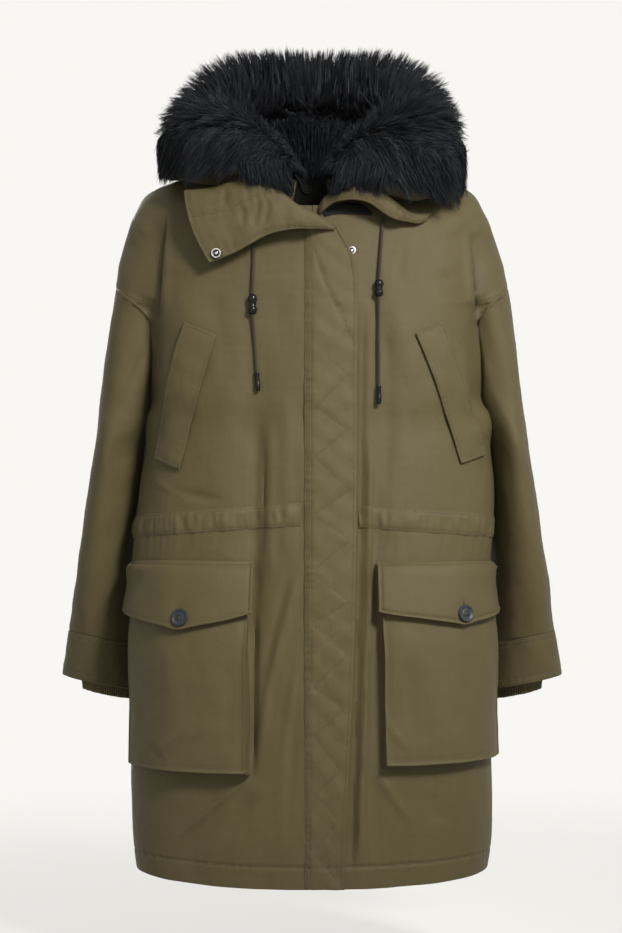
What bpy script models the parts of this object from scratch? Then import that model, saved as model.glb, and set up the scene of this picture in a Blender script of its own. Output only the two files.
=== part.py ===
"""Fur trimmed parka: the hollow coat as it stands filled out, held at the neck and shoulders.

Metres, +Z up, the front faces -Y, and the wearer's right is -X. The origin is the middle of the neck,
where the neck and shoulders hold the coat. The body is a loft of level sections from the hem to the
neck. Every sheet of cloth is a wall between the points of its outer face and the same points moved in,
and what lies on a panel is made from that panel's points, moved out.
"""

import bisect
import functools
import math

import bmesh
import bpy
import numpy as np
from mathutils.bvhtree import BVHTree

# Driving sizes.
WALL = 0.0025  # shell cloth with its thin wadding
SEAM = 0.0003  # gap between two pieces at a seam
REST = 0.0010  # gap under a piece that lies on a curved panel
RIGHT, LEFT = -1, 1
FRONT, BACK = -1, 1

HEM = -0.930  # at the side seams
UNDERARM = -0.300
SHOULDER_SEAM = -0.122  # top of the armhole, low on the upper arm
NECK_SIDE = 0.043

OLIVE = (0.105, 0.088, 0.042)
OLIVE_DARK = (0.060, 0.052, 0.028)
RIB_OLIVE = (0.080, 0.068, 0.034)
FUR_BLACK = (0.010, 0.011, 0.014)
BLACK = (0.012, 0.012, 0.012)
SILVER = (0.60, 0.60, 0.58)
BUTTON_SLATE = (0.045, 0.050, 0.055)

# Level sections of the body, from the hem up. Each level has its height at the side seam and at the
# middle of the front and back, its half width, its depth in front and behind, and the share of the
# depth that the crease beside the arm takes away.
LEVEL_COLUMNS = ("side_z", "front_z", "back_z", "half_width", "front", "back", "crease")
LEVELS = (
    (-0.930, -0.945, -0.937, 0.2450, 0.140, 0.126, 0.00),
    (-0.900, -0.912, -0.905, 0.2490, 0.142, 0.128, 0.00),
    (-0.830, -0.838, -0.832, 0.2540, 0.144, 0.130, 0.00),
    (-0.710, -0.712, -0.711, 0.2576, 0.144, 0.130, 0.00),
    (-0.600, -0.600, -0.600, 0.2576, 0.143, 0.129, 0.00),
    (-0.500, -0.500, -0.500, 0.2552, 0.140, 0.127, 0.00),
    (-0.440, -0.440, -0.440, 0.2513, 0.137, 0.125, 0.00),
    (-0.370, -0.372, -0.371, 0.2440, 0.135, 0.126, 0.00),
    (-0.335, -0.340, -0.338, 0.2402, 0.133, 0.127, 0.00),
    (-0.300, -0.310, -0.305, 0.2385, 0.131, 0.127, 0.95),
    (-0.285, -0.297, -0.291, 0.2475, 0.131, 0.127, 0.80),
    (-0.250, -0.266, -0.258, 0.2600, 0.130, 0.127, 0.62),
    (-0.200, -0.226, -0.213, 0.2680, 0.128, 0.126, 0.50),
    (-0.150, -0.188, -0.166, 0.2720, 0.125, 0.122, 0.42),
    (-0.122, -0.168, -0.138, 0.2737, 0.122, 0.118, 0.34),
    (-0.098, -0.150, -0.112, 0.2695, 0.120, 0.113, 0.28),
    (-0.066, -0.125, -0.078, 0.2597, 0.117, 0.106, 0.20),
    (-0.031, -0.098, -0.040, 0.2480, 0.113, 0.097, 0.12),
    (-0.004, -0.075, -0.010, 0.2350, 0.110, 0.089, 0.05),
    (0.014, -0.056, 0.013, 0.2178, 0.108, 0.081, 0.00),
    (0.027, -0.041, 0.028, 0.1850, 0.107, 0.075, 0.00),
    (0.036, -0.029, 0.039, 0.1480, 0.106, 0.070, 0.00),
    (0.041, -0.021, 0.046, 0.1120, 0.1055, 0.067, 0.00),
    (0.043, -0.017, 0.050, 0.0920, 0.105, 0.065, 0.00),
)
FULLNESS = 2.5  # exponent of a section: 2 is an ellipse, more is squarer
NORMAL_STEP = 0.002  # between the points that a normal is read from

# The armhole: how far out it lies at each height of the side.
ARMHOLE_COLUMNS = ("z", "out")
ARMHOLE = (
    (-0.300, 0.2385),
    (-0.285, 0.2365),
    (-0.250, 0.2335),
    (-0.200, 0.2290),
    (-0.158, 0.2275),
    (-0.149, 0.2310),
    (-0.141, 0.2440),
    (-0.134, 0.2600),
    (-0.128, 0.2710),
    (-0.122, 0.2737),
)

# The crease between chest and arm: where it lies at each height.
CREASE_COLUMNS = ("z", "out")
CREASE = (
    (-0.300, 0.2385),
    (-0.250, 0.2335),
    (-0.200, 0.2290),
    (-0.150, 0.2270),
    (-0.098, 0.2226),
    (-0.057, 0.2190),
    (0.000, 0.2160),
)
CREASE_WIDTH = 0.019
FOLD_FADE = 2.5  # how soon a fold reaches its depth, going in from the side seam

# How sharply a level section drops or rises towards the middle of the front and back.
TILT_COLUMNS = ("z", "power")
TILT = (
    (-0.930, 2.0),
    (-0.160, 2.5),
    (-0.060, 1.3),
    (0.043, 1.0),
)

# Large soft folds in the body: troughs that run down a panel.
FOLD_COLUMNS = ("face", "top_x", "top_z", "low_x", "low_z", "width", "depth")
FOLDS = (
    (FRONT, -0.066, -0.120, -0.090, -0.680, 0.024, 0.0075),
    (FRONT, -0.135, -0.720, -0.160, -0.930, 0.030, 0.0050),
    (FRONT, 0.086, -0.090, 0.082, -0.760, 0.022, 0.0085),
    (FRONT, 0.150, -0.740, 0.125, -0.930, 0.028, 0.0050),
    (BACK, -0.120, -0.100, -0.105, -0.720, 0.024, 0.0075),
    (BACK, 0.085, -0.140, 0.125, -0.880, 0.026, 0.0080),
    (BACK, 0.010, -0.420, -0.020, -0.930, 0.030, 0.0060),
)

# Sleeve sections from the underarm to the sleeve end: height of the middle, outermost reach, half
# thickness, half depth, how far the middle lies behind the side seam, and the turn in degrees.
SLEEVE_COLUMNS = ("z", "reach", "thin", "deep", "behind", "turn")
SLEEVE = (
    (-0.345, 0.3035, 0.0270, 0.080, 0.028, 6.0),
    (-0.450, 0.3195, 0.0335, 0.079, 0.043, 10.0),
    (-0.550, 0.3345, 0.0400, 0.074, 0.062, 19.0),
    (-0.615, 0.3443, 0.0465, 0.068, 0.077, 25.0),
    (-0.680, 0.3556, 0.0530, 0.062, 0.088, 30.0),
)
SLEEVE_TILT = 0.20  # the outer side of a sleeve section lies higher
BAND_TOP, BAND_END = -0.615, -0.680
BAND_PROUD = 0.0008
ARMHOLE_STEPS = 9  # from its top to the underarm
SLEEVE_SIDES = 2 * ARMHOLE_STEPS
SLEEVE_APART = (0.0006, -0.0008)  # out and down from the armhole
PANEL_COLUMNS = {FRONT: 12, BACK: 10}  # from the middle line to the side seam
STEADY_SHARE = 0.67  # columns this near the middle keep their places beside the armhole
LINE_APART = 0.2  # least share of a column between a sheet's own line and a panel's
CAP_ROWS, LOWER_ROWS, BAND_ROWS = 4, 5, 2

# The knit cuff: height of its middle, its share of the band's section, and how far its middle has moved
# towards the body.
CUFF_COLUMNS = ("z", "share", "inward")
CUFF = (
    (-0.640, 0.944, 0.000),
    (-0.660, 0.880, 0.003),
    (-0.676, 0.720, 0.009),
    (-0.697, 0.680, 0.010),
)
CUFF_WALL = 0.003
CUFF_CLEAR = 0.0005  # round the cuff where it leaves the band
CUFF_RIB = 0.0008
CUFF_ROWS = 4

# The storm flap: its free edge at each height. Its sewn edge is straight.
FLAP_SEWN_X = -0.0108
FLAP_EDGE_COLUMNS = ("z", "x")
FLAP_EDGE = (
    (-0.940, 0.0433),
    (-0.860, 0.0447),
    (-0.800, 0.0488),
    (-0.710, 0.0528),
    (-0.590, 0.0569),
    (-0.420, 0.0596),
    (-0.190, 0.0610),
    (-0.130, 0.0615),
    (-0.098, 0.0580),
    (-0.081, 0.0533),
    (-0.067, 0.0445),
    (-0.052, 0.0350),
    (-0.040, 0.0290),
)
FLAP_TOP = 0.0220  # height of its top at the side, where the collar crosses it
FLAP_ABOVE_HEM = 0.001
FLAP_WALL = 0.0035
FLAP_PROUD = 0.0025  # gap under its free edge
QUILT_RISE = 0.0012
QUILT_ROWS, QUILT_COLUMNS = 46, 4

# Chest welts: corners as (girth, level), from the upper inner corner round.
WELT_COLUMNS = (
    "side", "top_in", "top_in_z", "top_out", "top_out_z", "low_out", "low_out_z", "low_in", "low_in_z"
)
WELTS = (
    (RIGHT, 0.130, -0.166, 0.175, -0.150, 0.236, -0.362, 0.184, -0.376),
    (LEFT, 0.142, -0.164, 0.180, -0.150, 0.254, -0.356, 0.210, -0.368),
)
WELT_WALL = 0.003
WELT_REST = 0.0024  # it bridges the panel between its points
WELT_ROWS, WELT_STRIPS = 8, 3

# The drawcord channel round the waist.
CHANNEL_MIDDLE_FRONT = -0.437
CHANNEL_SIDE = -0.457
CHANNEL_HALF = 0.0155
CHANNEL_WALL = 0.0015
CHANNEL_RISE_GIRTH = 0.30  # it rises from this girth to the middle of the front
CHANNEL_RIGHT_START, CHANNEL_LEFT_START = -0.0145, 0.066  # beside the storm flap

# Bellows pockets, in girth from the middle line.
POCKET_COLUMNS = ("side", "inner", "point", "outer", "flap_top", "flap_low", "flap_point", "bag_low")
POCKETS = (
    (RIGHT, 0.078, 0.1725, 0.298, -0.502, -0.572, -0.594, -0.785),
    (LEFT, 0.088, 0.2025, 0.315, -0.502, -0.570, -0.588, -0.775),
)
BAG_INSET = 0.006  # the bag is this much narrower than its flap on each side
BAG_BELOW_SEAM = 0.012  # from the flap's seam down to the bag's mouth
BAG_DEPTH = 0.020
BAG_WALL = 0.002
BAG_ROWS = 5
MOUTH_DEPTH = 0.010  # how far the bag stands out at its mouth
# How far the flap stands out as it drops from its seam over the bag's mouth.
FLAP_DROP = {"down": (0.0, 0.10, 0.30, 0.65, 1.0), "rise": (0.0, 0.009, 0.0140, 0.0185, 0.0225)}

# Buttons and snaps.
BUTTON_RADIUS, BUTTON_THICK = 0.0118, 0.0028
BUTTON_CLEAR = 0.0009
BUTTON_DOWN = 0.82  # share of the way down the flap
SNAP_RADIUS, SNAP_THICK = 0.0068, 0.002
SNAP_CLEAR = 0.0006
SNAP_SHARE = 0.30  # share of the way in from the wing's lower outer corner
EDGE_SNAP_RADIUS, EDGE_SNAP_THICK = 0.0052, 0.0014
EDGE_SNAP_X, EDGE_SNAP_LEVEL = 0.0545, -0.010
DISC_SIDES = 24
DISC_EASE = 0.3  # share of the thickness that its edge is eased by

# The hang loop, as (girth, level) on the facing inside the back of the neck.
LOOP_DIAMETER = 0.0028
HANG_LOOP = (
    (-0.0150, 0.0350),
    (-0.0165, 0.0270),
    (-0.0140, 0.0190),
    (-0.0070, 0.0155),
    (0.0000, 0.0190),
    (0.0025, 0.0270),
    (0.0010, 0.0350),
)
FACING_REACH, FACING_WALL = 0.062, 0.0015
FACING_LEVELS = (-0.012, 0.005, 0.022, 0.040)
FACING_SPANS = 6

# The fur that lines the hood: sections in upright planes round the neck, by their bearing from the back
# in degrees (negative to the right), with the reach from the hood's axis and the height of each side.
FUR_COLUMNS = ("bearing", "inner", "outer", "low", "top")
FUR = (
    (-163.0, 0.066, 0.122, 0.016, 0.046),
    (-150.0, 0.058, 0.140, 0.022, 0.074),
    (-135.0, 0.060, 0.172, 0.024, 0.105),
    (-115.0, 0.070, 0.202, 0.020, 0.130),
    (-90.0, 0.082, 0.217, 0.010, 0.152),
    (-70.0, 0.086, 0.208, 0.015, 0.186),
    (-40.0, 0.084, 0.184, 0.020, 0.206),
    (0.0, 0.076, 0.160, 0.026, 0.207),
    (40.0, 0.084, 0.184, 0.020, 0.206),
    (70.0, 0.086, 0.208, 0.010, 0.192),
    (90.0, 0.082, 0.217, -0.008, 0.160),
    (115.0, 0.070, 0.206, -0.012, 0.132),
    (135.0, 0.060, 0.176, 0.004, 0.104),
    (150.0, 0.058, 0.140, 0.022, 0.074),
    (163.0, 0.066, 0.122, 0.016, 0.046),
)
HOOD_AXIS_Y = -0.010
FUR_SECTIONS = 30
FUR_SQUARENESS = 0.86
SHELL_CLEAR = 0.0017  # the hood's cloth over the shoulders
NECK_MARGIN = 1.05  # heights this near the neckline are read just outside it
REACH_BESIDE = 0.006  # heights are read this much nearer and further too
NO_SHOULDER = -1.0

# The hood's cloth under and behind the fur, at each bearing: the turns round the fur's section, in degrees
# from its outermost point, of its foot at the neck and of its rim.
HOOD_COLUMNS = ("bearing", "foot", "rim")
HOOD = (
    (-163.0, -125.0, -30.0),
    (-120.0, -145.0, -38.0),
    (-90.0, -155.0, -30.0),
    (-55.0, -160.0, 5.0),
    (-25.0, -165.0, 38.0),
    (0.0, -165.0, 45.0),
    (25.0, -165.0, 38.0),
    (55.0, -160.0, 5.0),
    (90.0, -155.0, -30.0),
    (120.0, -145.0, -38.0),
    (163.0, -125.0, -30.0),
)
SHELL_ROWS, FREE_ROWS = 7, 8  # round a section: the part that the cloth covers, and the rest

# The collar wings: each station has a point on its upper edge and one on its lower edge.
WING_COLUMNS = ("top_x", "top_y", "top_z", "low_x", "low_y", "low_z", "back", "bow")
RIGHT_WING = (
    (-0.1750, -0.106, 0.0030, -0.1396, -0.128, -0.0972, 0.026, -0.007),
    (-0.1223, -0.120, 0.0095, -0.0975, -0.131, -0.0799, 0.030, -0.002),
    (-0.0678, -0.130, 0.0170, -0.0568, -0.134, -0.0590, 0.030, 0.0),
    (-0.0400, -0.131, -0.0010, -0.0330, -0.135, -0.0535, 0.020, 0.0),
    (-0.0163, -0.132, -0.0216, -0.0122, -0.134, -0.0515, 0.010, 0.0),
    (0.0108, -0.126, -0.0339, 0.0095, -0.127, -0.0515, 0.006, 0.0),
    (0.0310, -0.1169, -0.0475, 0.0310, -0.1169, -0.0520, 0.003, 0.0),
)
LEFT_WING = (
    (0.0088, -0.1099, -0.0205, 0.0088, -0.1099, -0.0300, 0.004, 0.0),
    (0.0145, -0.114, -0.0095, 0.0135, -0.116, -0.0275, 0.006, 0.0),
    (0.0243, -0.120, -0.0015, 0.0243, -0.122, -0.0186, 0.010, 0.0),
    (0.0446, -0.126, 0.0095, 0.0446, -0.128, -0.0126, 0.014, 0.0),
    (0.0648, -0.127, 0.0140, 0.0648, -0.130, -0.0132, 0.010, 0.0),
    (0.0783, -0.126, 0.0120, 0.0783, -0.129, -0.0173, 0.008, 0.0),
    (0.0986, -0.121, -0.0020, 0.0986, -0.124, -0.0308, 0.008, 0.0),
    (0.1188, -0.114, -0.0170, 0.1170, -0.117, -0.0389, 0.006, 0.0),
    (0.1323, -0.105, -0.0270, 0.1323, -0.107, -0.0409, 0.004, 0.0),
    (0.1458, -0.096, -0.0290, 0.1458, -0.098, -0.0416, 0.004, 0.0),
    (0.1620, -0.084, -0.0260, 0.1590, -0.087, -0.0345, 0.004, 0.0),
)
WING_WALL = 0.0035
WING_SHARES = (0.0, 0.3, 0.65, 1.0)  # rows between the lower and the upper edge
WING_CURL = 0.004  # how far the middle of a wing stands out
WING_CURL_HEIGHT = 0.02  # a lower wing stands out less
WING_RETURN = ((0.5, 0.001), (1.0, -0.002))  # its top edge: shares to the rear, and rises

# Hood drawcords: the points each hangs through, from its exit under a collar wing.
CORD_DIAMETER = 0.0040
RIGHT_CORD = (
    (-0.0775, -0.1062, -0.0480),
    (-0.0785, -0.1088, -0.0640),
    (-0.0795, -0.1125, -0.0850),
    (-0.0803, -0.1172, -0.1100),
    (-0.0808, -0.1222, -0.1395),
    (-0.0806, -0.1246, -0.1665),
    (-0.0790, -0.1239, -0.1900),
    (-0.0768, -0.1246, -0.2200),
    (-0.0748, -0.1261, -0.2460),
)
LEFT_CORD = (
    (0.0965, -0.0995, -0.0330),
    (0.0960, -0.1035, -0.0430),
    (0.0948, -0.1083, -0.0620),
    (0.0930, -0.1131, -0.0880),
    (0.0912, -0.1178, -0.1195),
    (0.0908, -0.1200, -0.1420),
    (0.0906, -0.1193, -0.1700),
    (0.0905, -0.1219, -0.2050),
    (0.0907, -0.1231, -0.2350),
    (0.0908, -0.1250, -0.2635),
)
STOPPER_AT = 4  # the point of a cord where its stopper starts; it ends at the next
CORD_STEP = 2.5  # diameters between a cord's points
STOPPER_RADIUS = 0.0062
TIP_RADIUS, TIP_LENGTH = 0.0034, 0.025
# Turned pieces, as (share of the way, share of the radius).
STOPPER_PROFILE = (
    (0.0, 0.5),
    (0.08, 0.85),
    (0.3, 1.0),
    (0.45, 0.8),
    (0.6, 0.8),
    (0.75, 1.0),
    (0.93, 0.85),
    (1.0, 0.5),
)
TIP_PROFILE = ((0.0, 0.8), (0.06, 1.0), (0.7, 1.0), (0.96, 0.8), (1.0, 0.5))
TURNED_SIDES = 12


def rows_of(columns, table):
    """A table as {column: [values]}, for reading by name."""
    return {name: [row[index] for row in table] for index, name in enumerate(columns)}


def smooth(places, values, at):
    """Reads a smooth curve through (place, value) that never overshoots its points."""
    if at <= places[0]:
        return values[0]
    if at >= places[-1]:
        return values[-1]
    low = bisect.bisect_right(places, at) - 1
    steps = [b - a for a, b in zip(places, places[1:])]
    slopes = [(b - a) / step for a, b, step in zip(values, values[1:], steps)]

    def slope(index):
        if index == 0 or index == len(places) - 1:
            return slopes[min(index, len(slopes) - 1)]
        before, after = slopes[index - 1], slopes[index]
        return 0.0 if before * after <= 0 else 2 * before * after / (before + after)

    share = (at - places[low]) / steps[low]
    here, there = slope(low) * steps[low], slope(low + 1) * steps[low]
    return (
        values[low] * (1 + 2 * share) * (1 - share) ** 2
        + here * share * (1 - share) ** 2
        + values[low + 1] * share**2 * (3 - 2 * share)
        + there * share**2 * (share - 1)
    )


def reader(columns, table, key):
    """A function that reads every column of a table at a value of its key column."""
    columns_of = rows_of(columns, table)

    @functools.lru_cache(maxsize=None)
    def read(at):
        return {name: smooth(columns_of[key], values, at) for name, values in columns_of.items()}

    return read


level_at = reader(LEVEL_COLUMNS, LEVELS, "side_z")
armhole_at = reader(ARMHOLE_COLUMNS, ARMHOLE, "z")
crease_at = reader(CREASE_COLUMNS, CREASE, "z")
tilt_at = reader(TILT_COLUMNS, TILT, "z")
sleeve_at = reader(SLEEVE_COLUMNS, tuple(reversed(SLEEVE)), "z")
flap_edge_at = reader(FLAP_EDGE_COLUMNS, FLAP_EDGE, "z")
fur_at = reader(FUR_COLUMNS, FUR, "bearing")
hood_at = reader(HOOD_COLUMNS, HOOD, "bearing")


def blend(low, high, share):
    return low + (high - low) * share


def unit(vector):
    vector = np.asarray(vector, float)
    return vector / np.linalg.norm(vector)


# ---------------------------------------------------------------- the body's surface


def fold_depth(face, x, z):
    """How far the folds draw the panel in at one place."""
    depth = 0.0
    for row in FOLDS:
        fold = dict(zip(FOLD_COLUMNS, row))
        if fold["face"] != face or not fold["low_z"] - 0.1 < z < fold["top_z"] + 0.1:
            continue
        along = (fold["top_z"] - z) / (fold["top_z"] - fold["low_z"])
        middle = blend(fold["top_x"], fold["low_x"], min(max(along, 0.0), 1.0))
        fade = math.sin(math.pi * min(max(along, 0.0), 1.0)) ** 0.7
        if along >= 1.0 or fold["low_z"] <= HEM:
            fade = math.sin(0.5 * math.pi * min(max(along, 0.0), 1.0))
            fade = fade if fold["low_z"] <= HEM else 0.0
        depth += fold["depth"] * fade * math.exp(-(((x - middle) / fold["width"]) ** 2))
    return depth


def section_end(level):
    """How far out a section runs: to the side seam, or to the armhole where the arm leaves."""
    if UNDERARM < level < SHOULDER_SEAM:
        return armhole_at(level)["out"]
    return level_at(level)["half_width"]


@functools.lru_cache(maxsize=None)
def half_section(face, side, level, samples=160):
    """Points of a half section from the middle to its end, and the cloth's girth up to each."""
    here = level_at(level)
    depth = here["front"] if face == FRONT else here["back"]
    middle_z = here["front_z"] if face == FRONT else here["back_z"]
    last = math.asin(min(1.0, (section_end(level) / here["half_width"]) ** (FULLNESS / 2)))
    points = []
    for index in range(samples + 1):
        angle = last * index / samples
        out = here["half_width"] * math.sin(angle) ** (2 / FULLNESS)
        share = max(math.cos(angle), 0.0) ** (2 / FULLNESS)
        tilt = share ** tilt_at(level)["power"]
        if level > UNDERARM and here["crease"] > 0:
            away = (out - crease_at(level)["out"]) / CREASE_WIDTH
            share *= 1 - here["crease"] * math.exp(-(away**2))
        x = side * out
        z = here["side_z"] + (middle_z - here["side_z"]) * tilt
        y = face * (depth * share - fold_depth(face, x, z) * min(1.0, FOLD_FADE * share))
        points.append((x, y, z))
    points = np.array(points)
    girth = np.concatenate([[0.0], np.cumsum(np.linalg.norm(np.diff(points, axis=0), axis=1))])
    return points, girth


def on_section(face, girth, level):
    """A point on the body's outer face. Girth is measured from the middle line, and is negative right."""
    side = RIGHT if girth < 0 else LEFT
    points, girths = half_section(face, side, round(level, 6))
    return np.array([np.interp(abs(girth), girths, points[:, axis]) for axis in range(3)])


def section_normal(face, girth, level):
    """The outward direction of the body's outer face."""
    step = NORMAL_STEP
    reach = girth_to_end(face, level) - step
    girth = min(max(girth, -reach), reach)
    low, high = max(level - step, HEM), min(level + step, NECK_SIDE)
    across = on_section(face, girth + step, level) - on_section(face, girth - step, level)
    up = on_section(face, girth, high) - on_section(face, girth, low)
    return unit(np.cross(up, across)) * face


def girth_to_end(face, level, side=LEFT):
    return half_section(face, side, round(level, 6))[1][-1]


# ---------------------------------------------------------------- the panels' own points


def armhole_levels():
    """Heights down the armhole at equal steps along its edge, from its top to the underarm."""
    heights = np.linspace(SHOULDER_SEAM - 1e-6, UNDERARM + 1e-6, 240)
    edge = np.array([half_section(FRONT, LEFT, round(float(z), 6))[0][-1] for z in heights])
    along = np.concatenate([[0], np.cumsum(np.linalg.norm(np.diff(edge, axis=0), axis=1))])
    steps = np.linspace(0, along[-1], ARMHOLE_STEPS + 1)
    levels = [round(float(z), 6) for z in np.interp(steps, along, heights)]
    return [SHOULDER_SEAM] + levels[1:-1] + [UNDERARM]


@functools.lru_cache(maxsize=None)
def body_levels():
    """Heights of the rows of a body panel, closest at the armhole and the neck."""
    levels = [HEM]
    for low, high, count in ((HEM, -0.900, 1), (-0.900, -0.480, 7), (-0.480, UNDERARM, 4)):
        levels += [blend(low, high, step / count) for step in range(1, count + 1)]
    levels += armhole_levels()[::-1][1:]
    for low, high, count in ((SHOULDER_SEAM, 0.000, 4), (0.000, NECK_SIDE, 4)):
        levels += [blend(low, high, step / count) for step in range(1, count + 1)]
    return levels


@functools.lru_cache(maxsize=None)
def column_girths(face, side, level):
    """Girths of a panel's columns. Only the outer ones move in where the armhole cuts the panel."""
    count = PANEL_COLUMNS[face]
    end = girth_to_end(face, level, side)
    whole = end
    if UNDERARM < level < SHOULDER_SEAM:
        up = (level - UNDERARM) / (SHOULDER_SEAM - UNDERARM)
        low, high = (girth_to_end(face, edge, side) for edge in (UNDERARM, SHOULDER_SEAM))
        whole = blend(low, high, up)
    steady = round(count * STEADY_SHARE)
    girths = [whole * column / count for column in range(steady + 1)]
    last, moving = girths[-1], count - steady
    return girths + [blend(last, end, step / moving) for step in range(1, moving + 1)]


@functools.lru_cache(maxsize=None)
def half_panel(face, side):
    """The points of half a panel from the middle line to the side seam or armhole, and their normals."""
    count = PANEL_COLUMNS[face]
    points, normals = [], []
    for level in body_levels():
        row, row_normals = [], []
        for column, away in enumerate(column_girths(face, side, level)):
            girth = side * max(away, 1e-9)
            point, normal = on_section(face, girth, level), section_normal(face, girth, level)
            if column == count and not UNDERARM < level < SHOULDER_SEAM:
                point[1] = face * SEAM / 2
                normal = unit((normal[0], 0, normal[2]))
            if column == 0:
                point[0] = 0.0
                normal = unit((0, normal[1], normal[2]))
            row.append(point)
            row_normals.append(normal)
        points.append(row)
        normals.append(row_normals)
    return np.array(points), np.array(normals)


def on_panel(face, girth, level, lift=0.0):
    """A point of a panel's own facets, moved out. Girth runs from the middle and is negative to the right."""
    side = RIGHT if girth < 0 else LEFT
    points, normals = half_panel(face, side)
    levels = body_levels()
    row = min(max(bisect.bisect_right(levels, level) - 1, 0), len(levels) - 2)
    up = (level - levels[row]) / (levels[row + 1] - levels[row])
    girths = column_girths(face, side, round(level, 6))
    away = min(abs(girth), girths[-1])
    column = min(bisect.bisect_right(girths, away) - 1, len(girths) - 2)
    across = (away - girths[column]) / (girths[column + 1] - girths[column])

    def read(grid):
        low = blend(grid[row, column], grid[row, column + 1], across)
        high = blend(grid[row + 1, column], grid[row + 1, column + 1], across)
        return blend(low, high, up)

    return read(points) + unit(read(normals)) * lift


def girth_of_x(face, x, level):
    """The girth at which a section passes a place across the front or back."""
    side = RIGHT if x < 0 else LEFT
    points, girths = half_section(face, side, round(level, 6))
    return side * float(np.interp(side * x, side * points[:, 0], girths))


def panel_girths(face, level, start, end, also=()):
    """Girths from start to end, with every line of the panel's points between them."""
    side = RIGHT if start + end < 0 else LEFT
    low, high = sorted((start, end))
    lines = [side * girth for girth in column_girths(face, side, level)]
    apart = abs(lines[1]) * LINE_APART
    places = [low, high, *also]
    inside = [line for line in lines if low < line < high]
    places += [line for line in inside if all(abs(line - place) > apart for place in places)]
    return sorted(places, reverse=bool(start > end))


# ---------------------------------------------------------------- solids from points


def add_object(name, mesh, material):
    obj = bpy.data.objects.new(name, mesh)
    obj.data.materials.append(material)
    collection.objects.link(obj)
    return obj


def close_mesh(name, bm, material, smooth_angle=40):
    bmesh.ops.recalc_face_normals(bm, faces=bm.faces)
    if bm.calc_volume(signed=True) < 0:
        bmesh.ops.reverse_faces(bm, faces=bm.faces)
    mesh = bpy.data.meshes.new(name)
    bm.to_mesh(mesh)
    bm.free()
    mesh.shade_smooth()
    mesh.set_sharp_from_angle(angle=math.radians(smooth_angle))
    return add_object(name, mesh, material)


def grid_normals(points, around=False):
    """Outward directions at the points of a grid, from their neighbours."""
    if around:
        across = np.roll(points, -1, axis=1) - np.roll(points, 1, axis=1)
    else:
        across = np.gradient(points, axis=1)
    normals = np.cross(across, np.gradient(points, axis=0))
    return normals / np.linalg.norm(normals, axis=2, keepdims=True)


def wall_between(name, outer, inner, material, around=False):
    """A closed sheet of cloth: a loft over its outer points, one over its inner points, and the edges."""
    rows, columns = outer.shape[:2]
    bm = bmesh.new()
    skins = [[[bm.verts.new(point) for point in row] for row in skin] for skin in (outer, inner)]
    spans = columns if around else columns - 1
    for skin in skins:
        for row in range(rows - 1):
            for column in range(spans):
                after = (column + 1) % columns
                bm.faces.new(
                    (skin[row][column], skin[row][after], skin[row + 1][after], skin[row + 1][column])
                )
    for row in (0, rows - 1):
        for column in range(spans):
            after = (column + 1) % columns
            bm.faces.new(
                (skins[0][row][column], skins[0][row][after], skins[1][row][after], skins[1][row][column])
            )
    if not around:
        for column in (0, columns - 1):
            for row in range(rows - 1):
                bm.faces.new(
                    (
                        skins[0][row][column],
                        skins[0][row + 1][column],
                        skins[1][row + 1][column],
                        skins[1][row][column],
                    )
                )
    return close_mesh(name, bm, material)


def cloth_on_body(name, face, places, lift, wall, material):
    """A sheet over a panel. Places is a grid of (girth, level); lift and wall are one size or a grid."""
    shape = (len(places), len(places[0]))
    lifts, walls = np.broadcast_to(lift, shape), np.broadcast_to(wall, shape)
    outer = np.zeros((*shape, 3))
    inner = np.zeros((*shape, 3))
    for row, line in enumerate(places):
        for column, (girth, level) in enumerate(line):
            gap = lifts[row, column]
            inner[row, column] = on_panel(face, girth, level, gap)
            outer[row, column] = on_panel(face, girth, level, gap + walls[row, column])
    return wall_between(name, outer, inner, material)


# ---------------------------------------------------------------- body panels


def panel(name, face, sides, material):
    """A body panel over one side or both. Its edges stop half a seam short of the next panel."""
    points, normals = half_panel(face, sides[-1])
    points = points.copy()
    if len(sides) == 2:
        other, other_normals = half_panel(face, sides[0])
        points = np.concatenate([other[:, :0:-1], points], axis=1)
        normals = np.concatenate([other_normals[:, :0:-1], normals], axis=1)
    else:
        points[:, 0, 0] = sides[0] * SEAM / 2
    return wall_between(name, points, points - normals * WALL, material)


# ---------------------------------------------------------------- sleeves


def armhole_ring(side):
    """The armhole from its top down the front to the underarm and up the back, a seam's gap away."""
    levels = body_levels()
    low, high = levels.index(UNDERARM), levels.index(SHOULDER_SEAM)
    front = half_panel(FRONT, side)[0][low : high + 1, -1][::-1]
    back = half_panel(BACK, side)[0][low : high + 1, -1]
    front[0, 1] = front[-1, 1] = 0.0
    ring = np.concatenate([front, back[1:-1]])
    return ring + np.array([side * SLEEVE_APART[0], 0.0, SLEEVE_APART[1]])


def sleeve_section(side, level, count, grow=0.0, share=1.0, inward=0.0):
    """A ring of the sleeve from its outermost point round the front, grown or shrunk about its middle."""
    here = sleeve_at(level)
    turn = math.radians(here["turn"])
    reach = math.hypot(here["thin"] * math.cos(turn), here["deep"] * math.sin(turn))
    middle = here["reach"] - reach
    ring = []
    for step in range(count):
        angle = 2 * math.pi * step / count
        thin = (here["thin"] * share + grow) * math.cos(angle)
        deep = (here["deep"] * share + grow) * math.sin(angle)
        out = thin * math.cos(turn) + deep * math.sin(turn)
        back = thin * math.sin(turn) - deep * math.cos(turn)
        x = middle - inward + out
        ring.append((side * x, here["behind"] + back, level + SLEEVE_TILT * out))
    return np.array(ring)


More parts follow.
